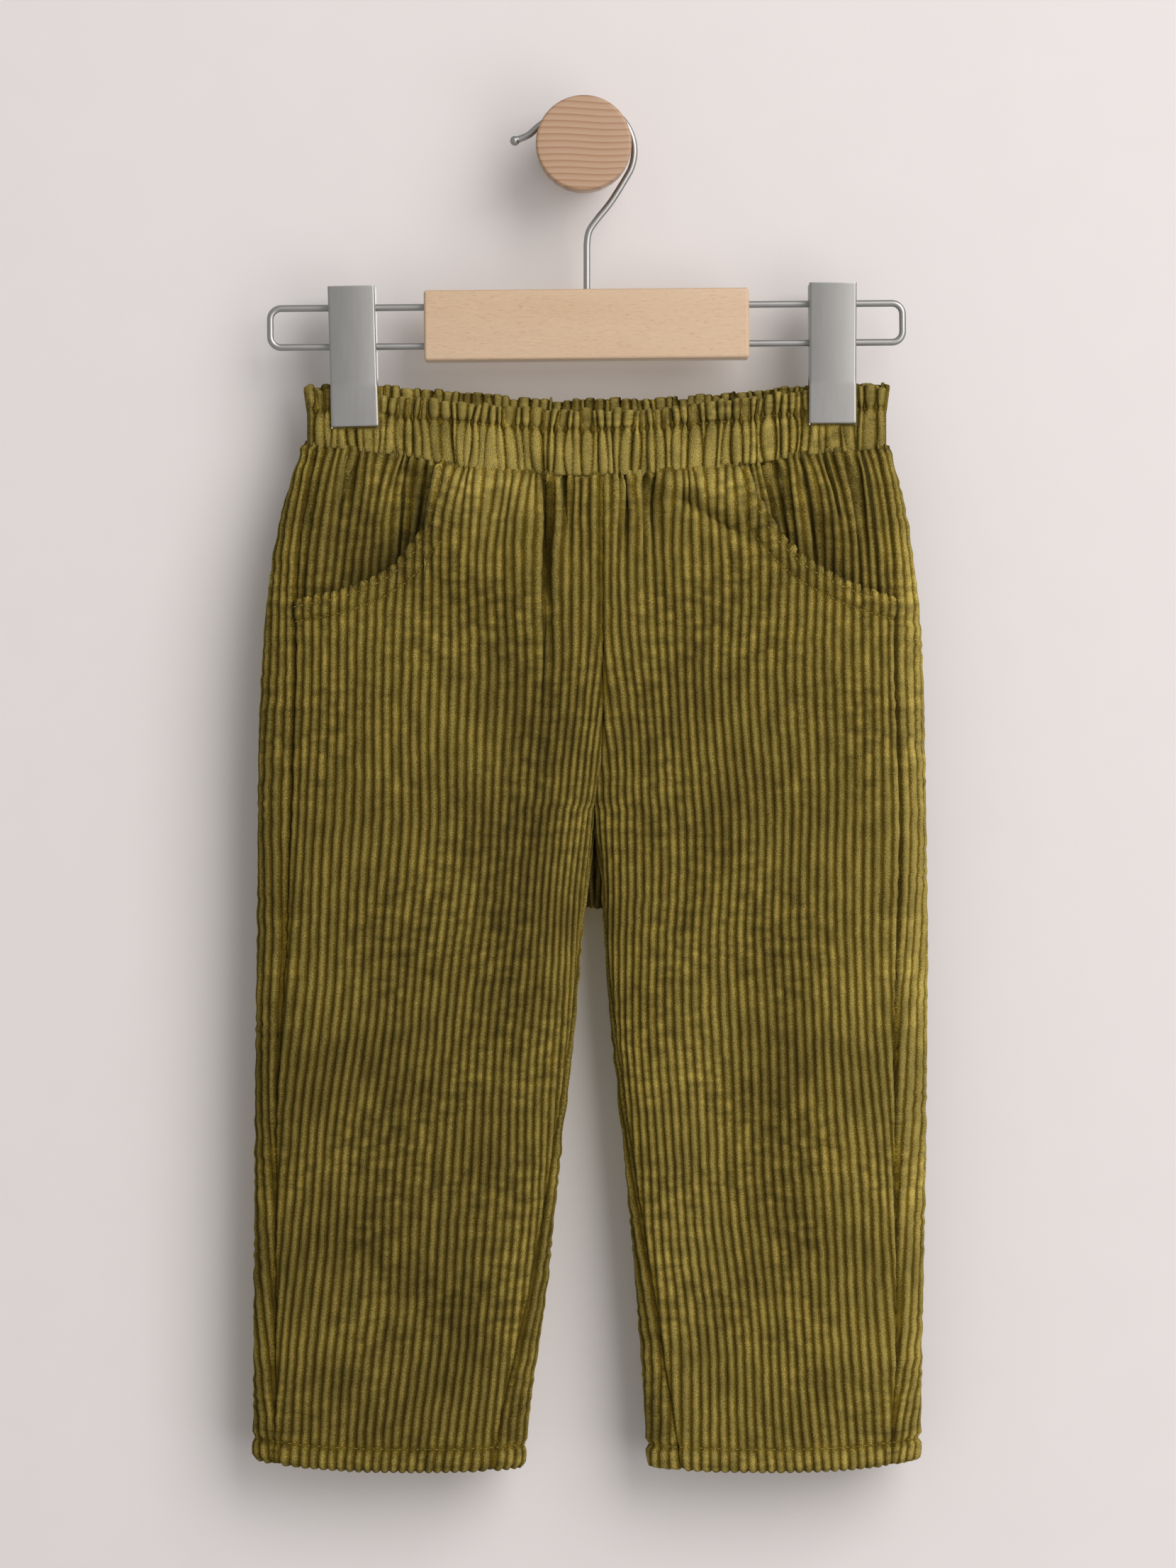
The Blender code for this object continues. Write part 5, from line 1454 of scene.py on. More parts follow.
def tube_relief(wales, x, share):
    """How far the gathers stand out, how high on its tube each point lies, its pinch and its rise. The
    second also colours the tube, with painted shade where the crease beside it is deep.
    """
    above, below = max(1.0 - share, 0.0), max(share - 1.0, 0.0)
    at = wales.at + wales.top * above + wales.lean * below + wales.bow * sin(pi * min(below, 1.0))
    at = np.maximum.accumulate(at)
    low = float(smooth_step(np.array((share - 0.92) / 0.16)))
    lift = wales.frill * (1 - low) + wales.band * low + 0.3 * np.sin(4.2 * share + wales.phase)
    gap = wales.frill_gap * (1 - low) + wales.band_gap * low
    floor = np.minimum(lift, np.roll(lift, 1)) - gap
    cell = np.clip(np.searchsorted(at, x) - 1, 0, len(at) - 2)
    width = at[cell + 1] - at[cell]
    t = np.clip((x - at[cell]) / np.maximum(width, 0.3), 0.0, 1.0)
    neck = 1.0 + 0.55 * groove(from_stitches(share), 1.8)
    tube = rounded(0.5 + neck * (t - 0.5), 2.3) * smooth_step(width / 1.5)
    base = floor[cell] * (1 - t) + floor[cell + 1] * t
    # painted shade: a deeper crease beside a tube makes its colour darker there
    deep = np.clip((gap[cell] * (1 - t) + gap[cell + 1] * t) / 1.9, 0.7, 1.0)
    out = base * (1 - tube) + lift[cell] * tube
    return out, 1 - (1 - tube) * deep, wales.pinch[cell], wales.rise[cell]


print("across a tube:", rounded(np.linspace(0.0, 1.0, 7), 2.3).round(2))

# %% A row of the band
Knot = namedtuple("Knot", "x z reach height")
KNOT = Knot(4.8, -125.6, 2.1, 3.0)  # little tuft where the band was joined


def band_row(face, gathers, share, behind, rise, facing, inner):
    """One row of a waistband half and how full the gathers are along it."""
    reach = np.linspace(-1.0, 1.0, BAND_COLUMNS)
    half_width = BAND_HALF_WIDTH - BAND_TAPER * float(smooth_step(np.array(share / 1.2)))
    x = BAND_CENTRE + half_width * reach
    height = band_height(face, share, x) + rise
    free = clip_free(x, height) * smooth_step((1 - np.abs(reach)) * half_width / BAND_END_FADE)
    out, full, drawn_in, stand = tube_relief(gathers, x, share)
    below = from_stitches(share)
    pinch = groove(below, PINCH_REACH)
    swell = 0.2 * groove(below + 5.0, 3.6) + 0.5 * groove(below - 8.0, 7.0)
    swell = (swell + out * (1 - 0.35 * pinch) - drawn_in * pinch) * free
    if face == "front" and not inner:
        away2 = (x - KNOT.x) ** 2 + (height - KNOT.z) ** 2
        swell = swell + KNOT.height * np.exp(-away2 / (2 * KNOT.reach ** 2))
    height = height - 1.3 * groove(share, 0.3) * groove(1 - np.abs(reach), 0.012)
    height = height + groove(share, 0.3) * free * (1.6 * (full ** 0.5 - 1) + stand)
    half_depth = band_half_depth(BAND_CENTRE + BAND_HALF_WIDTH * reach)
    if inner:
        depth = np.maximum(half_depth - BAND_WALL - 0.6 * swell, BAND_OVERLAP)
    else:
        depth = np.maximum(half_depth - behind + swell, LEAST_DEPTH + 0.35)
    # Painted shade: darker at the pinch of the stitches and on tubes that sink back; then painted light on
    # the frill.
    full = full * (1 - 0.12 * pinch) * (0.93 + 0.10 * np.clip(out, -1.5, 1.0))
    full = full * (1.0 + FRILL_PAINTED_LIGHT * (share < 0.96))
    return np.stack([x, HANG_Y + facing * depth, height], axis=1), full * free + 0.6 * (1 - free)


print("a row of the band has", BAND_COLUMNS, "points")

# %% Make the waistband halves
def band_half(face, facing):
    """Up the inside of the frill, over its top and down the outside; then a plain inner face."""
    gathers, plan = crowd(face), []
    plan += [(share, 0.0, 0.0, True) for share in np.linspace(1.1, 0.14, FRILL_INNER_ROWS)]
    plan += [(0.0, TOP_ROLL * (1 - sin(a)), -TOP_ROLL * (1 - cos(a)), False) for a in (0.0, 0.4, 0.8, 1.15)]
    plan += [(share, 0.0, 0.0, False) for share in np.linspace(0.14, 1.9, 36)]
    plan += [(2.0, FOOT_ROLL * (1 - cos(a)), FOOT_ROLL * (1 - sin(a)), False) for a in (0.0, 0.5, 1.0, 1.5)]
    skin = [band_row(face, gathers, share, behind, rise, facing, inner)
            for share, behind, rise, inner in plan]
    ridge = np.concatenate([full for _, full in skin])
    skin = [points for points, _ in skin]
    x = skin[0][:, 0]
    lining = []
    for share in (1.16, 1.4, 1.7, 1.98):
        at = x if share < 1.3 else np.append(x[::12], x[-1])  # the first row meets the fine ones
        inner = np.maximum(band_half_depth(at) - BAND_WALL, BAND_OVERLAP)
        lining.append(np.stack([at, HANG_Y + facing * inner, band_height(face, share, at)], axis=1))
    faces = []
    for rows, runs in ((skin, 0.85 * (np.arange(len(skin)) - FRILL_INNER_ROWS)),
                       (lining, (16.0, 20.0, 26.0, 32.0))):
        points = np.concatenate(rows)
        run = np.concatenate([np.full(len(row), run) for row, run in zip(rows, runs)])
        zero = np.zeros(len(points))
        faces.append(Face([len(row) for row in rows], points, points[:, 0] - x[0], run, zero, zero))
    piece = shell(f"waistband_{face}_cord", *faces, np.array([0.0, -facing, 0.0]), ridge=ridge,
                  tone=BAND_TONE)
    piece.data.materials.append(cord_look)
    return piece


bands = {"front": band_half("front", -1.0), "back": band_half("back", 1.0)}
print("waistband halves:", *(len(piece.data.polygons) for piece in bands.values()), "triangles")

# %% [markdown]
# ## Sewing
#
# Stitches repeat along a path, so Geometry Nodes lay them. A path starts as a polyline that was
# dropped onto the finished cloth. The tree resamples it at the stitch length and sets a short
# rounded stitch on each point, turned along the path.

# %% The tree that lays the stitches
STITCH_SPACING, STITCH_LENGTH, THREAD_THICKNESS = 2.8, 2.2, 0.34
STITCH_SHAKE = 0.12  # how much a stitch turns off its line


def stitch_tree():
    tree, given = open_tree("stitch a row", (
        ("Spacing", "Float"), ("Length", "Float"), ("Thickness", "Float"), ("Jitter", "Float"),
        ("Seed", "Int"), ("Thread", "Material")))
    curve = output(tree, "GeometryNodeMeshToCurve", {"Mesh": given["Geometry"]})
    even = output(tree, "GeometryNodeResampleCurve", {
        "Curve": curve, "Length": given["Spacing"]}, mode="LENGTH")
    tangent = output(tree, "GeometryNodeInputTangent")
    shake = output(tree, "FunctionNodeRandomValue", {
        "Min": (-1.0, -1.0, -1.0), "Max": (1.0, 1.0, 1.0), "Seed": given["Seed"]},
        data_type="FLOAT_VECTOR")
    shaken = multiplied(tree, shake, given["Jitter"])
    aim = output(tree, "VectorMath", {0: tangent, 1: shaken}, operation="ADD")
    turn = output(tree, "FunctionNodeAlignRotationToVector", {"Vector": aim}, axis="X")
    thin = times(tree, given["Thickness"], 0.5)
    size = output(tree, "CombineXYZ", {0: times(tree, given["Length"], 0.5), 1: thin, 2: thin})
    bead = output(tree, "GeometryNodeMeshUVSphere", {"Segments": 6, "Rings": 5, "Radius": 1.0})
    along = output(tree, "GeometryNodeTransform", {"Geometry": bead, "Rotation": (0, pi / 2, 0)})
    placed = output(tree, "GeometryNodeInstanceOnPoints", {
        "Points": even, "Instance": along, "Rotation": turn, "Scale": size})
    soft = output(tree, "GeometryNodeSetShadeSmooth", {"Geometry": placed})
    close_tree(tree, soft, given["Thread"])
    return tree


stitch_a_row = stitch_tree()
print("stitch tree:", len(stitch_a_row.nodes), "nodes")

# %% Thread on the cloth
PATH_STEP = 0.7  # between the points that are dropped onto the cloth
TAUT_POINTS = 5  # points over which the thread stays taut


def ground(piece):
    """Finished cloth that a path can be dropped onto."""
    made = bmesh.new()
    made.from_mesh(piece.data)
    tree = BVHTree.FromBMesh(made)
    made.free()
    return tree


def settle(path, cloth, facing, lift):
    """Drops a path of (x, z) onto the cloth along Y and rides over the ribs like taut thread."""
    heights = []
    for x, z in path:
        start = Vector((x, 200.0 * facing, z)) * MM + Vector((0, HANG_Y * MM, 0))
        hit = cloth.ray_cast(start, Vector((0, -facing, 0)))[0]
        heights.append(hit.y * facing / MM if hit is not None else np.nan)
    heights = np.array(heights)
    found = ~np.isnan(heights)
    path, heights = np.array(path)[found], heights[found]
    padded = np.pad(heights, TAUT_POINTS // 2, mode="edge")
    taut = np.convolve(padded, np.ones(TAUT_POINTS) / TAUT_POINTS, mode="valid")
    return np.stack([path[:, 0], facing * (taut + lift), path[:, 1]], axis=1)


def sew(name, paths, seed):
    """One piece with the stitches of several paths."""
    points, edges = [], []
    for path in paths:
        first = len(points)
        points += (path * MM).tolist()
        edges += [(i, i + 1) for i in range(first, first + len(path) - 1)]
    mesh = bpy.data.meshes.new(name)
    mesh.from_pydata(points, edges, [])
    return grow(add_object(name, mesh), stitch_a_row, spacing=STITCH_SPACING * MM,
                length=STITCH_LENGTH * MM, thickness=THREAD_THICKNESS * MM, jitter=STITCH_SHAKE,
                seed=seed, thread=thread_look)


print("a stitch every", STITCH_SPACING, "mm")

# %% Paths to sew along
def fine(path):
    path = np.array(path, float)
    along = lengths_along(path)
    at = np.arange(0.0, along[-1], PATH_STEP)
    return np.stack([np.interp(at, along, path[:, i]) for i in (0, 1)], axis=1)


def mouth_path(side, below):
    """The pocket edge moved square to itself, down and inwards."""
    line = mouth_curve(side)
    along = np.gradient(line, axis=0)
    along /= np.linalg.norm(along, axis=1, keepdims=True)
    normal = np.stack([along[:, 1], -along[:, 0]], axis=1)
    normal *= np.where(normal[:, 1:] > 0, -1.0, 1.0)
    return fine((line + below * normal)[4:-2])


def hem_path(weave, margin):
    level = HEM_LEVEL + HEM_STITCH
    start, end = edges_at(weave, level)
    grain = np.arange(start + margin, end - margin, PATH_STEP)
    return cloth_at(weave, grain, np.full(len(grain), level))[:, [0, 2]]


def waist_paths(face):
    """The stitches of the frill, which stop where a clip holds the band."""
    x = np.arange(BAND_CENTRE - BAND_HALF_WIDTH + 5, BAND_CENTRE + BAND_HALF_WIDTH - 5, PATH_STEP)
    path = np.stack([x, band_height(face, 1.0, x)], axis=1)
    path = path[clip_free(x, path[:, 1]) > 0.3]
    gaps = np.flatnonzero(np.diff(path[:, 0]) > 2.0) + 1
    return np.split(path, gaps)


MOCK_FLY = [(-8.5, -158.0), (-9.2, -190.0), (-9.0, -215.0), (-7.4, -228.0),
            (-4.0, -238.0), (1.0, -243.0), (6.0, -243.5)]
print("the mock fly is", lengths_along(np.array(MOCK_FLY))[-1].round(), "mm long")

# %% Sew
WRAP_STITCHES = 13  # points of a hem row that show on each strip of a back
sewing = {}
for side in SIDES:
    front, back = ground(panels["front", side.name]), ground(panels["back", side.name])
    rows = [settle(mouth_path(side, below), front, -1, -0.15) for below in POCKET_STITCHES]
    rows.append(settle(hem_path(fronts[side], 1.5), front, -1, -0.1))
    rows.append(settle(hem_path(backs[side], 1.5), back, 1, -0.1))
    both_ends = hem_path(backs[side], 1.0)
    for strip in (both_ends[:WRAP_STITCHES], both_ends[-WRAP_STITCHES:]):
        rows.append(settle(strip, back, -1, -0.1))
    sewing[side.name] = sew(f"stitching_{side.name}", rows, seed=11)
fly = settle(fine(MOCK_FLY), ground(panels["front", "left"]), -1, -0.3)
sewing["mock_fly"] = sew("stitching_mock_fly", [fly], seed=12)
for face, facing in (("front", -1.0), ("back", 1.0)):
    cloth = ground(bands[face])
    rows = [settle(path, cloth, facing, -0.5) for path in waist_paths(face)]
    sewing["band_" + face] = sew(f"stitching_waist_{face}", rows, seed=13)
print("stitching:", {name: len(piece.data.polygons) for name, piece in sewing.items()})

# %% [markdown]
# ## Finishes of the hanger and the peg
#
# The peg is turned pine with strong wavy growth rings. The bar is beech, pale with short dark
# flecks along the grain. Wires and clip plates are satin steel, and the guide inside each clip is
# dark plastic. Their patterns sit in object coordinates, which are metres here, so that the grain
# runs through a piece as it does in wood, and no seam of an unwrapped picture shows.

# %% Pine and beech
PINE_RINGS, RING_SWAY = 330.0, 0.009  # rings in a metre, and metres that they wander


def pine():
    """Turned pine, oiled: wide early wood and thin darker late wood."""
    made, tree = new_material("turned pine")
    sway = noise(tree, stretched(tree, (14, 14, 14)), detail=1.0)
    height = add_node(tree, "SeparateXYZ", {0: stretched(tree, (1, 1, 1))}).outputs["Z"]
    rings = times(tree, calc(tree, "MULTIPLY_ADD", sway, RING_SWAY, height), PINE_RINGS)
    late = calc(tree, "POWER", calc(tree, "FRACT", rings), 3.0)
    fibre = noise(tree, stretched(tree, (90, 900, 1600)))
    colour = multiplied(tree, blend(tree, late, "b8997e", "9c7350"), ranged(tree, fibre, 0.93, 1.07))
    show(tree, surface(tree, colour, 0.48, Normal=bump(tree, fibre, 1.0, 0.05)))
    return made


def beech():
    """Planed beech: even and pale, with short fine flecks along the grain."""
    made, tree = new_material("planed beech")
    cloud = noise(tree, stretched(tree, (9, 60, 60)), detail=1.0)
    fibre = noise(tree, stretched(tree, (160, 1500, 1500)))
    fleck = ranged(tree, noise(tree, stretched(tree, (330, 2200, 2200)), detail=1.0), 0.0, 0.28, 0.60, 0.72)
    plain = multiplied(tree, blend(tree, cloud, "d4bb9f", "c8a988"), ranged(tree, fibre, 0.92, 1.08))
    flecked = add_node(tree, "Mix", {
        "Factor": fleck, 6: plain, 7: linear("9c7048")}, data_type="RGBA").outputs[2]
    show(tree, surface(tree, flecked, 0.55, Normal=bump(tree, fibre, 1.0, 0.04)))
    return made


pine_look, beech_look = pine(), beech()
print(pine_look.name, "/", beech_look.name)

# %% Steel and plastic
def steel():
    """Satin nickel-plated steel."""
    made, tree = new_material("satin steel")
    haze = noise(tree, stretched(tree, (500, 500, 60)))
    show(tree, surface(tree, linear("b0b0ae"), ranged(tree, haze, 0.36, 0.46), Metallic=1.0))
    return made


def dark_plastic():
    """Moulded and matt."""
    made, tree = new_material("dark plastic guide")
    haze = noise(tree, stretched(tree, (400, 400, 400)))
    show(tree, surface(tree, linear("3a3835"), ranged(tree, haze, 0.45, 0.6)))
    return made


steel_look, guide_look = steel(), dark_plastic()
print(steel_look.name, "/", guide_look.name)

# %% [markdown]
# ## Hanger and peg
#
# They keep the sizes of the solids and get finer edges. The wires follow a path, so Geometry Nodes
# sweep a circle along it: a bend can then be moved by one number. The hook's tip swells to a small
# ball. The peg is turned, so a profile is spun round its axis, as on a lathe.

# %% Sizes of the hanger and the peg
PEG_NECK_RADIUS, PEG_FACE_RADIUS = 17.7, 22.0
PEG_NECK_LENGTH, PEG_LENGTH, PEG_EDGE = 32.0, 46.0, 1.4
WIRE_RADIUS = 1.6
HOOK_ARC_RADIUS, HOOK_ARC_CENTRE = 22.1, (1.3, -1.9)
HOOK_TIP = [(-30.0, 3.6), (-25.4, 5.6), (-20.8, 9.6)]
HOOK_SHANK = [(12.6, -25.4), (6.2, -33.4), (2.7, -38.6), (1.6, -44.0), (1.5, -50.0)]
BAR_CENTRE = (1.3, HANG_Y, -82.5)
BAR_SIZE, BAR_EDGE = (150.0, 17.0, 32.5), 1.5
HANGER_ROLL = 0.5  # degrees, left end low
WIRE_SPREAD, FRAME_HALF_LENGTH, FRAME_CORNER = 9.0, 146.2, 5.0
print("the wire frame is", round(2 * (FRAME_HALF_LENGTH + WIRE_RADIUS), 1), "mm long")

# %% Wires
def wire_tree():
    tree, given = open_tree("sweep a wire", (
        ("Radius", "Float"), ("Sides", "Int"), ("Steel", "Material")))
    curve = output(tree, "GeometryNodeMeshToCurve", {"Mesh": given["Geometry"]})
    circle = add_node(tree, "GeometryNodeCurvePrimitiveCircle", {
        "Resolution": given["Sides"]}, mode="RADIUS")
    tree.links.new(given["Radius"], next(s for s in circle.inputs if s.name == "Radius" and s.enabled))
    swept = output(tree, "GeometryNodeCurveToMesh", {
        "Curve": curve, "Profile Curve": circle.outputs[0], "Scale": attribute(tree, "swell"),
        "Fill Caps": True})
    soft = output(tree, "GeometryNodeSetShadeSmooth", {"Geometry": swept})
    close_tree(tree, soft, given["Steel"])
    return tree


sweep_a_wire = wire_tree()


def wire(name, points, swell, closed):
    count = len(points)
    edges = [(i, (i + 1) % count) for i in range(count if closed else count - 1)]
    mesh = bpy.data.meshes.new(name)
    mesh.from_pydata([Vector(p) * MM for p in points], edges, [])
    mesh.attributes.new("swell", "FLOAT", "POINT").data.foreach_set("value", swell)
    return grow(add_object(name, mesh), sweep_a_wire, radius=WIRE_RADIUS * MM, sides=24, steel=steel_look)


def smooth_path(points, count):
    """Catmull-Rom curve through given points."""
    points = [np.array(p, float) for p in points]
    ghost = [2 * points[0] - points[1]] + points + [2 * points[-1] - points[-2]]
    path = []
    for p0, p1, p2, p3 in zip(ghost, ghost[1:], ghost[2:], ghost[3:]):
        for t in np.arange(count) / count:
            path.append(0.5 * (2 * p1 + (p2 - p0) * t + (2 * p0 - 5 * p1 + 4 * p2 - p3) * t ** 2
                               + (3 * p1 - p0 - 3 * p2 + p3) * t ** 3))
    return path + [points[-1]]


print("wire tree:", len(sweep_a_wire.nodes), "nodes")

# %% Hook and wire frame
BALL_RADIUS = 1.45  # of the hook's tip, in wire radii


def hook():
    arc = [(HOOK_ARC_CENTRE[0] + HOOK_ARC_RADIUS * cos(radians(degrees)),
            HOOK_ARC_CENTRE[1] + HOOK_ARC_RADIUS * sin(radians(degrees)))
           for degrees in range(130, -50, -15)]
    path = smooth_path(HOOK_TIP + arc + HOOK_SHANK, 6)
    start, lean = path[0], path[0] - path[1]
    lean = lean / np.linalg.norm(lean)
    angles = np.linspace(0.0, pi, 12)
    ball = [start + lean * (2.0 + 2.2 * cos(angle)) for angle in angles]
    swell = [max(BALL_RADIUS * sin(angle), 0.05) for angle in angles]
    swell[7:] = [max(radius, 1.0) for radius in swell[7:]]  # the neck is plain wire
    bar_top = BAR_CENTRE[2] + BAR_SIZE[2] / 2
    route = ball + path[1:] + [np.array([HOOK_SHANK[-1][0], bar_top + 0.3])]
    swell += [1.0] * (len(route) - len(ball))
    return wire("hook_wire", [(x, HANG_Y, z) for x, z in route], swell, closed=False)


def upright(points, roll, centre):
    """From the coordinates of an upright piece to those of the scene."""
    tilt = Matrix.Rotation(radians(roll), 4, "Y")
    return [tilt @ Vector(p) + Vector(centre) for p in points]


def loop():
    points = []
    for start, sx, sz in ((0, 1, 1), (90, -1, 1), (180, -1, -1), (270, 1, -1)):
        for angle in np.radians(start + np.linspace(0, 90, 9)):
            points.append((sx * (FRAME_HALF_LENGTH - FRAME_CORNER) + FRAME_CORNER * cos(angle), 0.0,
                           sz * (WIRE_SPREAD - FRAME_CORNER) + FRAME_CORNER * sin(angle)))
    points = upright(points, -HANGER_ROLL, BAR_CENTRE)
    return wire("frame_wire", points, [1.0] * len(points), closed=True)


hook_wire, frame_wire = hook(), loop()
print("wires:", len(hook_wire.data.polygons), "and", len(frame_wire.data.polygons), "faces")

# %% Bar and peg
SHARP_ANGLE = 35.0  # degrees: edges that turn more stay sharp


def mesh_piece(name, made, look):
    mesh = bpy.data.meshes.new(name)
    made.to_mesh(mesh)
    made.free()
    mesh.materials.append(look)
    mesh.shade_smooth()
    mesh.set_sharp_from_angle(angle=radians(SHARP_ANGLE))
    return add_object(name, mesh)


def soft_block(name, made, edge, segments, roll, centre, look):
    """Rounds the edges of a block and brings it to its place."""
    bmesh.ops.bevel(made, geom=made.edges, offset=edge, segments=segments, profile=0.5, affect="EDGES")
    spots = upright([vert.co for vert in made.verts], roll, centre)
    for vert, spot in zip(made.verts, spots):
        vert.co = spot * MM
    return mesh_piece(name, made, look)


def bar():
    made = bmesh.new()
    bmesh.ops.create_cube(made, size=1.0)
    bmesh.ops.scale(made, verts=made.verts, vec=Vector(BAR_SIZE))
    return soft_block("bar_beech", made, BAR_EDGE, 6, -HANGER_ROLL, BAR_CENTRE, beech_look)


def peg():
    rim = PEG_FACE_RADIUS - PEG_EDGE
    profile = [(0.0, PEG_LENGTH), (rim * 0.5, PEG_LENGTH)]
    for height, start in ((PEG_LENGTH - PEG_EDGE, 90), (PEG_NECK_LENGTH + PEG_EDGE, 0)):
        for angle in np.radians(start - np.linspace(0, 90, 9)):
            profile.append((rim + PEG_EDGE * cos(angle), height + PEG_EDGE * sin(angle)))
    profile += [(PEG_NECK_RADIUS, PEG_NECK_LENGTH), (PEG_NECK_RADIUS, 0.0), (0.0, 0.0)]
    made = bmesh.new()
    verts = [made.verts.new((radius * MM, -height * MM, 0)) for radius, height in profile]
    edges = [made.edges.new(pair) for pair in zip(verts, verts[1:])]
    bmesh.ops.spin(made, geom=verts + edges, axis=(0, 1, 0), cent=(0, 0, 0), steps=96, angle=tau,
                   use_merge=True)
    bmesh.ops.remove_doubles(made, verts=made.verts, dist=1e-6)
    bmesh.ops.recalc_face_normals(made, faces=made.faces)
    return mesh_piece("peg_pine", made, pine_look)


bar_beech, peg_pine = bar(), peg()
print("bar:", len(bar_beech.data.polygons), "and peg:", len(peg_pine.data.polygons), "faces")

# %% [markdown]
# ## Clips
#
# A clip is two bent steel plates whose lips grip the waistband, and a guide between them that slides
# on the wires. Each plate has flanges along its long edges, which stop above the lip. A plate is
# bent from a flat strip, so its sections follow the bend and a modifier gives it its thickness.

# %% The section of a jaw
CLIP_LENGTH, CLIP_PLATE = 64.2, 1.2
CLIP_BITE, CLIP_SPREAD = 4.0, 6.0
CLIP_BEND = 1.1
CORE_SPAN = (25.0, CLIP_LENGTH - 2.0)


def jaw_inner(height):
    return CLIP_BITE + CLIP_SPREAD * height / CLIP_LENGTH


def jaw_section(height):
    """Half-open outline of a plate at a height: flange, bend, face, bend, flange."""
    flanged = np.interp(height, [0.0, 18.0, 22.0, CLIP_LENGTH], [0.12, 0.12, 1.0, 1.0])
    face = jaw_inner(height) + CLIP_PLATE
    flange = face - (face - WIRE_RADIUS - 0.4) * flanged
    half = CLIP_WIDTH / 2
    reach = min(CLIP_BEND, face - flange)
    right = [(half, flange)]
    for angle in np.radians(np.linspace(0, 90, 5)):
        right.append((half - CLIP_BEND + CLIP_BEND * cos(angle), face - reach + reach * sin(angle)))
    return [(-x, y) for x, y in right] + [(x, y) for x, y in reversed(right)]


print("a jaw opens from", jaw_inner(0), "to", jaw_inner(CLIP_LENGTH), "mm")

# %% Make the clips
JAW_ROWS = (0.0, 0.6, 6.0, 12.0, 17.0, 18.0, 19.0, 20.0, 21.0, 22.0, 23.0, 34.0, 45.0, 56.0,
            CLIP_LENGTH - 0.6, CLIP_LENGTH)


def clip_centre(clip):
    return clip.x, HANG_Y, clip.foot


def jaw(clip, facing):
    made = bmesh.new()
    grid = []
    for height in JAW_ROWS:
        lip = 0.0 if height else 0.5
        points = [(x, facing * (y + lip), height) for x, y in jaw_section(height)]
        spots = upright(points, clip.roll, clip_centre(clip))
        grid.append([made.verts.new(spot * MM) for spot in spots])
    for lower, upper in zip(grid, grid[1:]):
        for i in range(len(lower) - 1):
            made.faces.new((lower[i], lower[i + 1], upper[i + 1], upper[i]))
    if facing > 0:
        bmesh.ops.reverse_faces(made, faces=made.faces)
    name = clip.name + ("_front" if facing < 0 else "_back") + "_steel"
    piece = mesh_piece(name, made, steel_look)
    plate = piece.modifiers.new("plate", "SOLIDIFY")
    plate.thickness = CLIP_PLATE * MM
    plate.offset = -1.0
    edges = piece.modifiers.new("soft edges", "BEVEL")
    edges.width = 0.3 * MM
    edges.segments = 2
    return settled(piece)


def guide(clip):
    half_width = CLIP_WIDTH / 2 - CLIP_PLATE - 0.3
    made = bmesh.new()
    bmesh.ops.create_cube(made, size=2.0)
    for vert in made.verts:
        height = CORE_SPAN[int(vert.co.z > 0)]
        depth = jaw_inner(height) - 0.3
        vert.co = (np.sign(vert.co.x) * half_width, np.sign(vert.co.y) * depth, height)
    return soft_block(clip.name + "_guide", made, 0.8, 3, clip.roll, clip_centre(clip), guide_look)


clip_pieces = {}
for clip in CLIPS:
    clip_pieces[clip.name + "_front"] = jaw(clip, -1)
    clip_pieces[clip.name + "_back"] = jaw(clip, 1)
    clip_pieces[clip.name + "_core"] = guide(clip)
print("clip pieces:", ", ".join(clip_pieces))

# %% [markdown]
# ## What rides on what
#
# Every piece stands for the solid with the same place, which is hidden.
# Nothing moves here, so all ride on the root.

# %% Rides and replacements
def stand_for(piece, node):
    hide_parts(node)
    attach(piece, "root")


POCKET_CUT_AWAY = 2200.0  # square mm that the curved mouth takes off a front
for side in SIDES:
    for kind, weave, missing in (("front", fronts[side], POCKET_CUT_AWAY), ("back", backs[side], 0.0)):
        piece = panels[kind, side.name]
        stand_for(piece, f"{kind}_{side.name}")
    levels = steps(WAIST_LEVEL, FACING_BOTTOM, FACING_ROW_STEP)
    widths = np.array([far - near for near, far in (facing_span(side, level) for level in levels)])
    stand_for(facings[side.name], f"pocket_facing_{side.name}")

for face, piece in bands.items():
    stand_for(piece, f"waistband_{face}")
for node, piece in clip_pieces.items():
    stand_for(piece, node)
stand_for(hook_wire, "hanger_hook")
stand_for(frame_wire, "wire_frame")
stand_for(bar_beech, "hanger_bar")
stand_for(peg_pine, "wall_peg")
for piece in sewing.values():
    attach(piece, "root")

# %% [markdown]
# ## Stage, light and camera
#
# The wall is pale and matt. It is see-through from behind, so that the back can be looked at, and it
# casts no light on the cloth. A wide key light from the upper right gives each rib one soft side, a
# fill keeps the creases open, and the world lights the rest evenly.

# %% Wall and floor
def one_sided(name, hex_colour):
    """Matt plaster or board that is see-through from behind."""
    made, tree = new_material(name)
    grain = noise(tree, stretched(tree, (40, 40, 40)), detail=3.0)
    colour = multiplied(tree, linear(hex_colour)[:3], ranged(tree, grain, 0.985, 1.015))
    front = surface(tree, colour, 0.9, Specular_IOR_Level=0.2)
    behind = add_node(tree, "NewGeometry").outputs["Backfacing"]
    clear = output(tree, "BsdfTransparent")
    show(tree, output(tree, "MixShader", {0: behind, 1: front, 2: clear}))
    return made


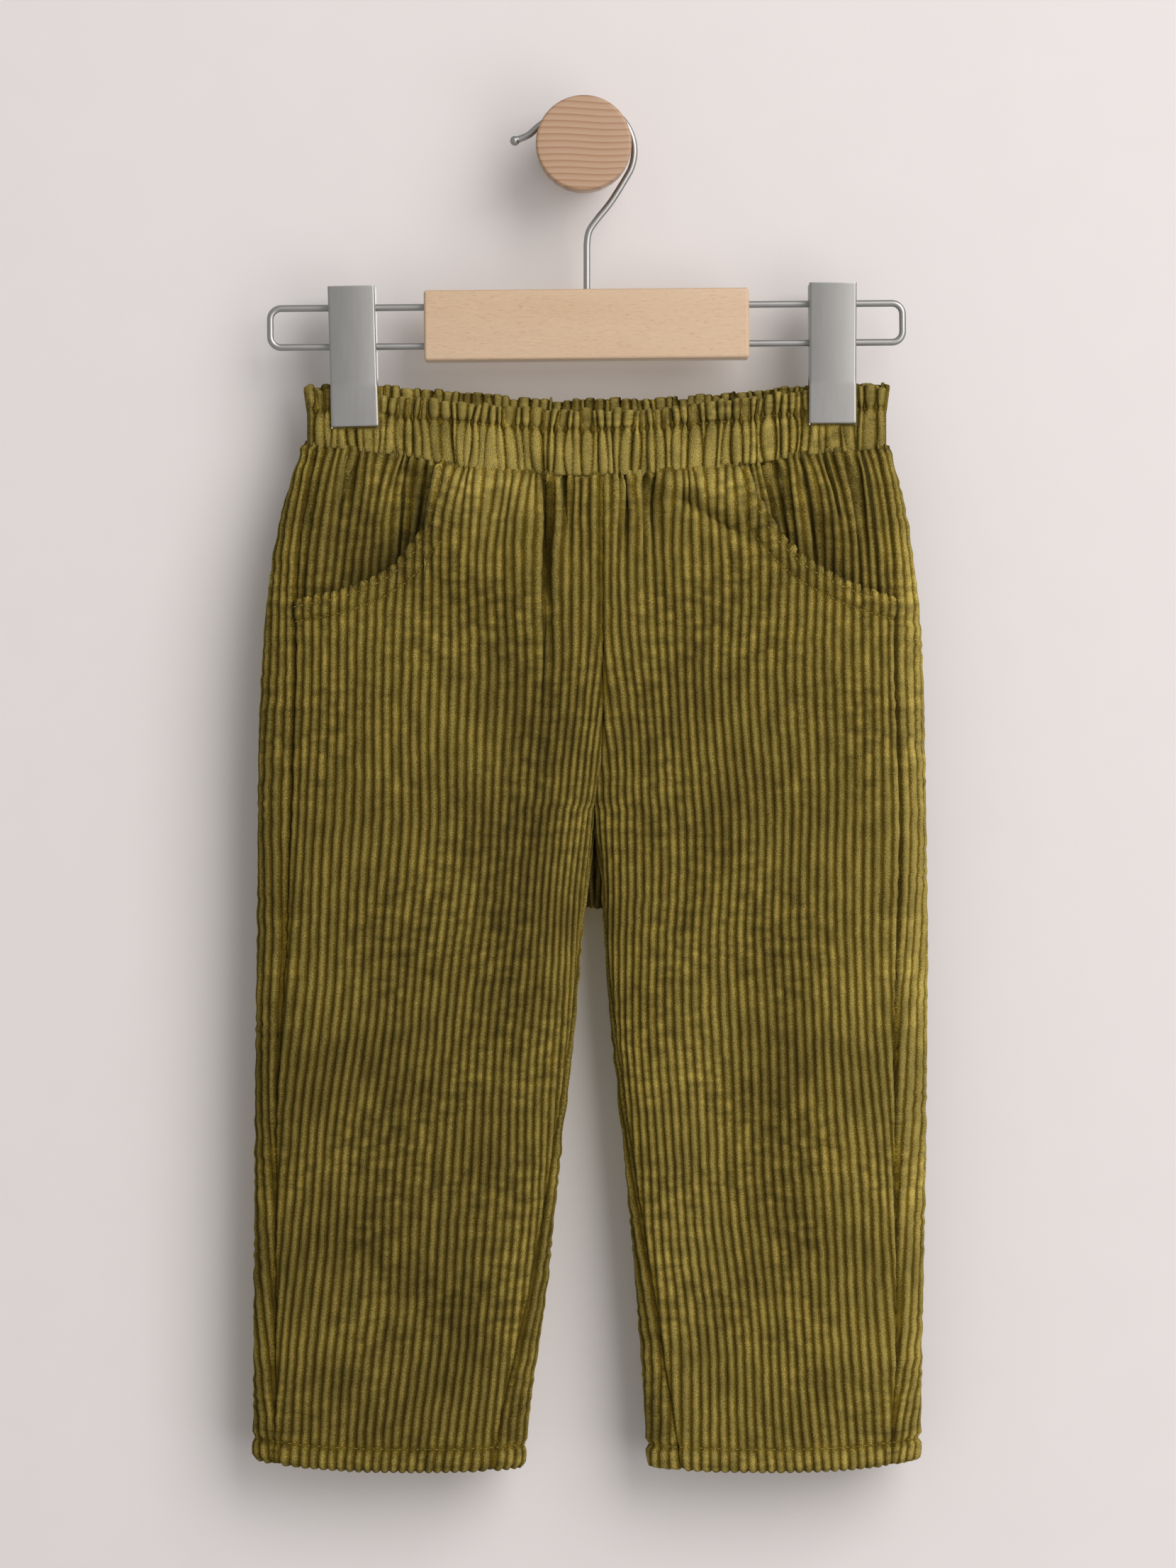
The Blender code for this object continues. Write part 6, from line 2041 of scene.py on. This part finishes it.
def stage_plane(name, near, far, look):
    """A plane as wide as the wall, between two edges that are given as (y, z)."""
    mesh = bpy.data.meshes.new(name)
    corners = [(-WALL_REACH, *near), (WALL_REACH, *near), (WALL_REACH, *far), (-WALL_REACH, *far)]
    mesh.from_pydata(corners, [], [(0, 1, 2, 3)])
    mesh.materials.append(look)
    plane = add_object(name, mesh)
    plane.visible_diffuse = plane.visible_shadow = plane.visible_glossy = False


WALL_REACH, WALL_TOP, FLOOR_HEIGHT, FLOOR_BACK = 4.0, 2.5, -0.80, 2.0  # metres
stage_plane("wall", (0.0, FLOOR_HEIGHT), (0.0, WALL_TOP), one_sided("painted wall", "e2dfdf"))
stage_plane("floor", (-WALL_REACH, FLOOR_HEIGHT), (FLOOR_BACK, FLOOR_HEIGHT),
            one_sided("pale floor", "dcd8d3"))
print("the wall is", 2 * WALL_REACH, "m wide")

# %% Lights
LIGHT_TARGET = Vector((0.0, 0.0, -0.3))


def area_light(name, location, size, power, colour):
    data = bpy.data.lights.new(name, "AREA")
    data.shape, data.size, data.energy = "SQUARE", size, power
    data.color = linear(colour)[:3]
    light = add_object(name, data)
    light.location = location
    light.rotation_euler = (LIGHT_TARGET - light.location).to_track_quat("-Z", "Y").to_euler()
    print(name, "light:", power, "W over", size, "m")


area_light("key", (1.75, -2.4, 1.3), 2.6, 80.0, "fffaf8")
area_light("fill", (1.7, -2.2, -0.9), 1.8, 18.0, "fff8f6")
area_light("back_fill", (0.6, 1.6, 0.2), 1.4, 9.0, "ffffff")

WORLD_LIGHT = 0.465
world = bpy.data.worlds.new("pale studio")
world.use_nodes = True
world.node_tree.nodes["Background"].inputs[0].default_value = linear("f6f3f1")
world.node_tree.nodes["Background"].inputs[1].default_value = WORLD_LIGHT
bpy.context.scene.world = world
print("world light:", WORLD_LIGHT)

# %% Camera
CAMERA_DISTANCE, VIEW_HEIGHT, VIEW_CENTRE = 2.5, 0.72525, (0.00197, -0.2946)
camera_data = bpy.data.cameras.new("camera")
camera_data.sensor_width = 36.0
camera_data.lens = camera_data.sensor_width * CAMERA_DISTANCE / VIEW_HEIGHT
camera = add_object("camera", camera_data)
camera.location = (VIEW_CENTRE[0], HANG_Y * MM - CAMERA_DISTANCE, VIEW_CENTRE[1])
camera.rotation_euler = (pi / 2, 0, 0)
bpy.context.scene.camera = camera
bpy.context.scene.view_settings.view_transform = "Standard"
print("camera lens", round(camera_data.lens, 1), "mm")
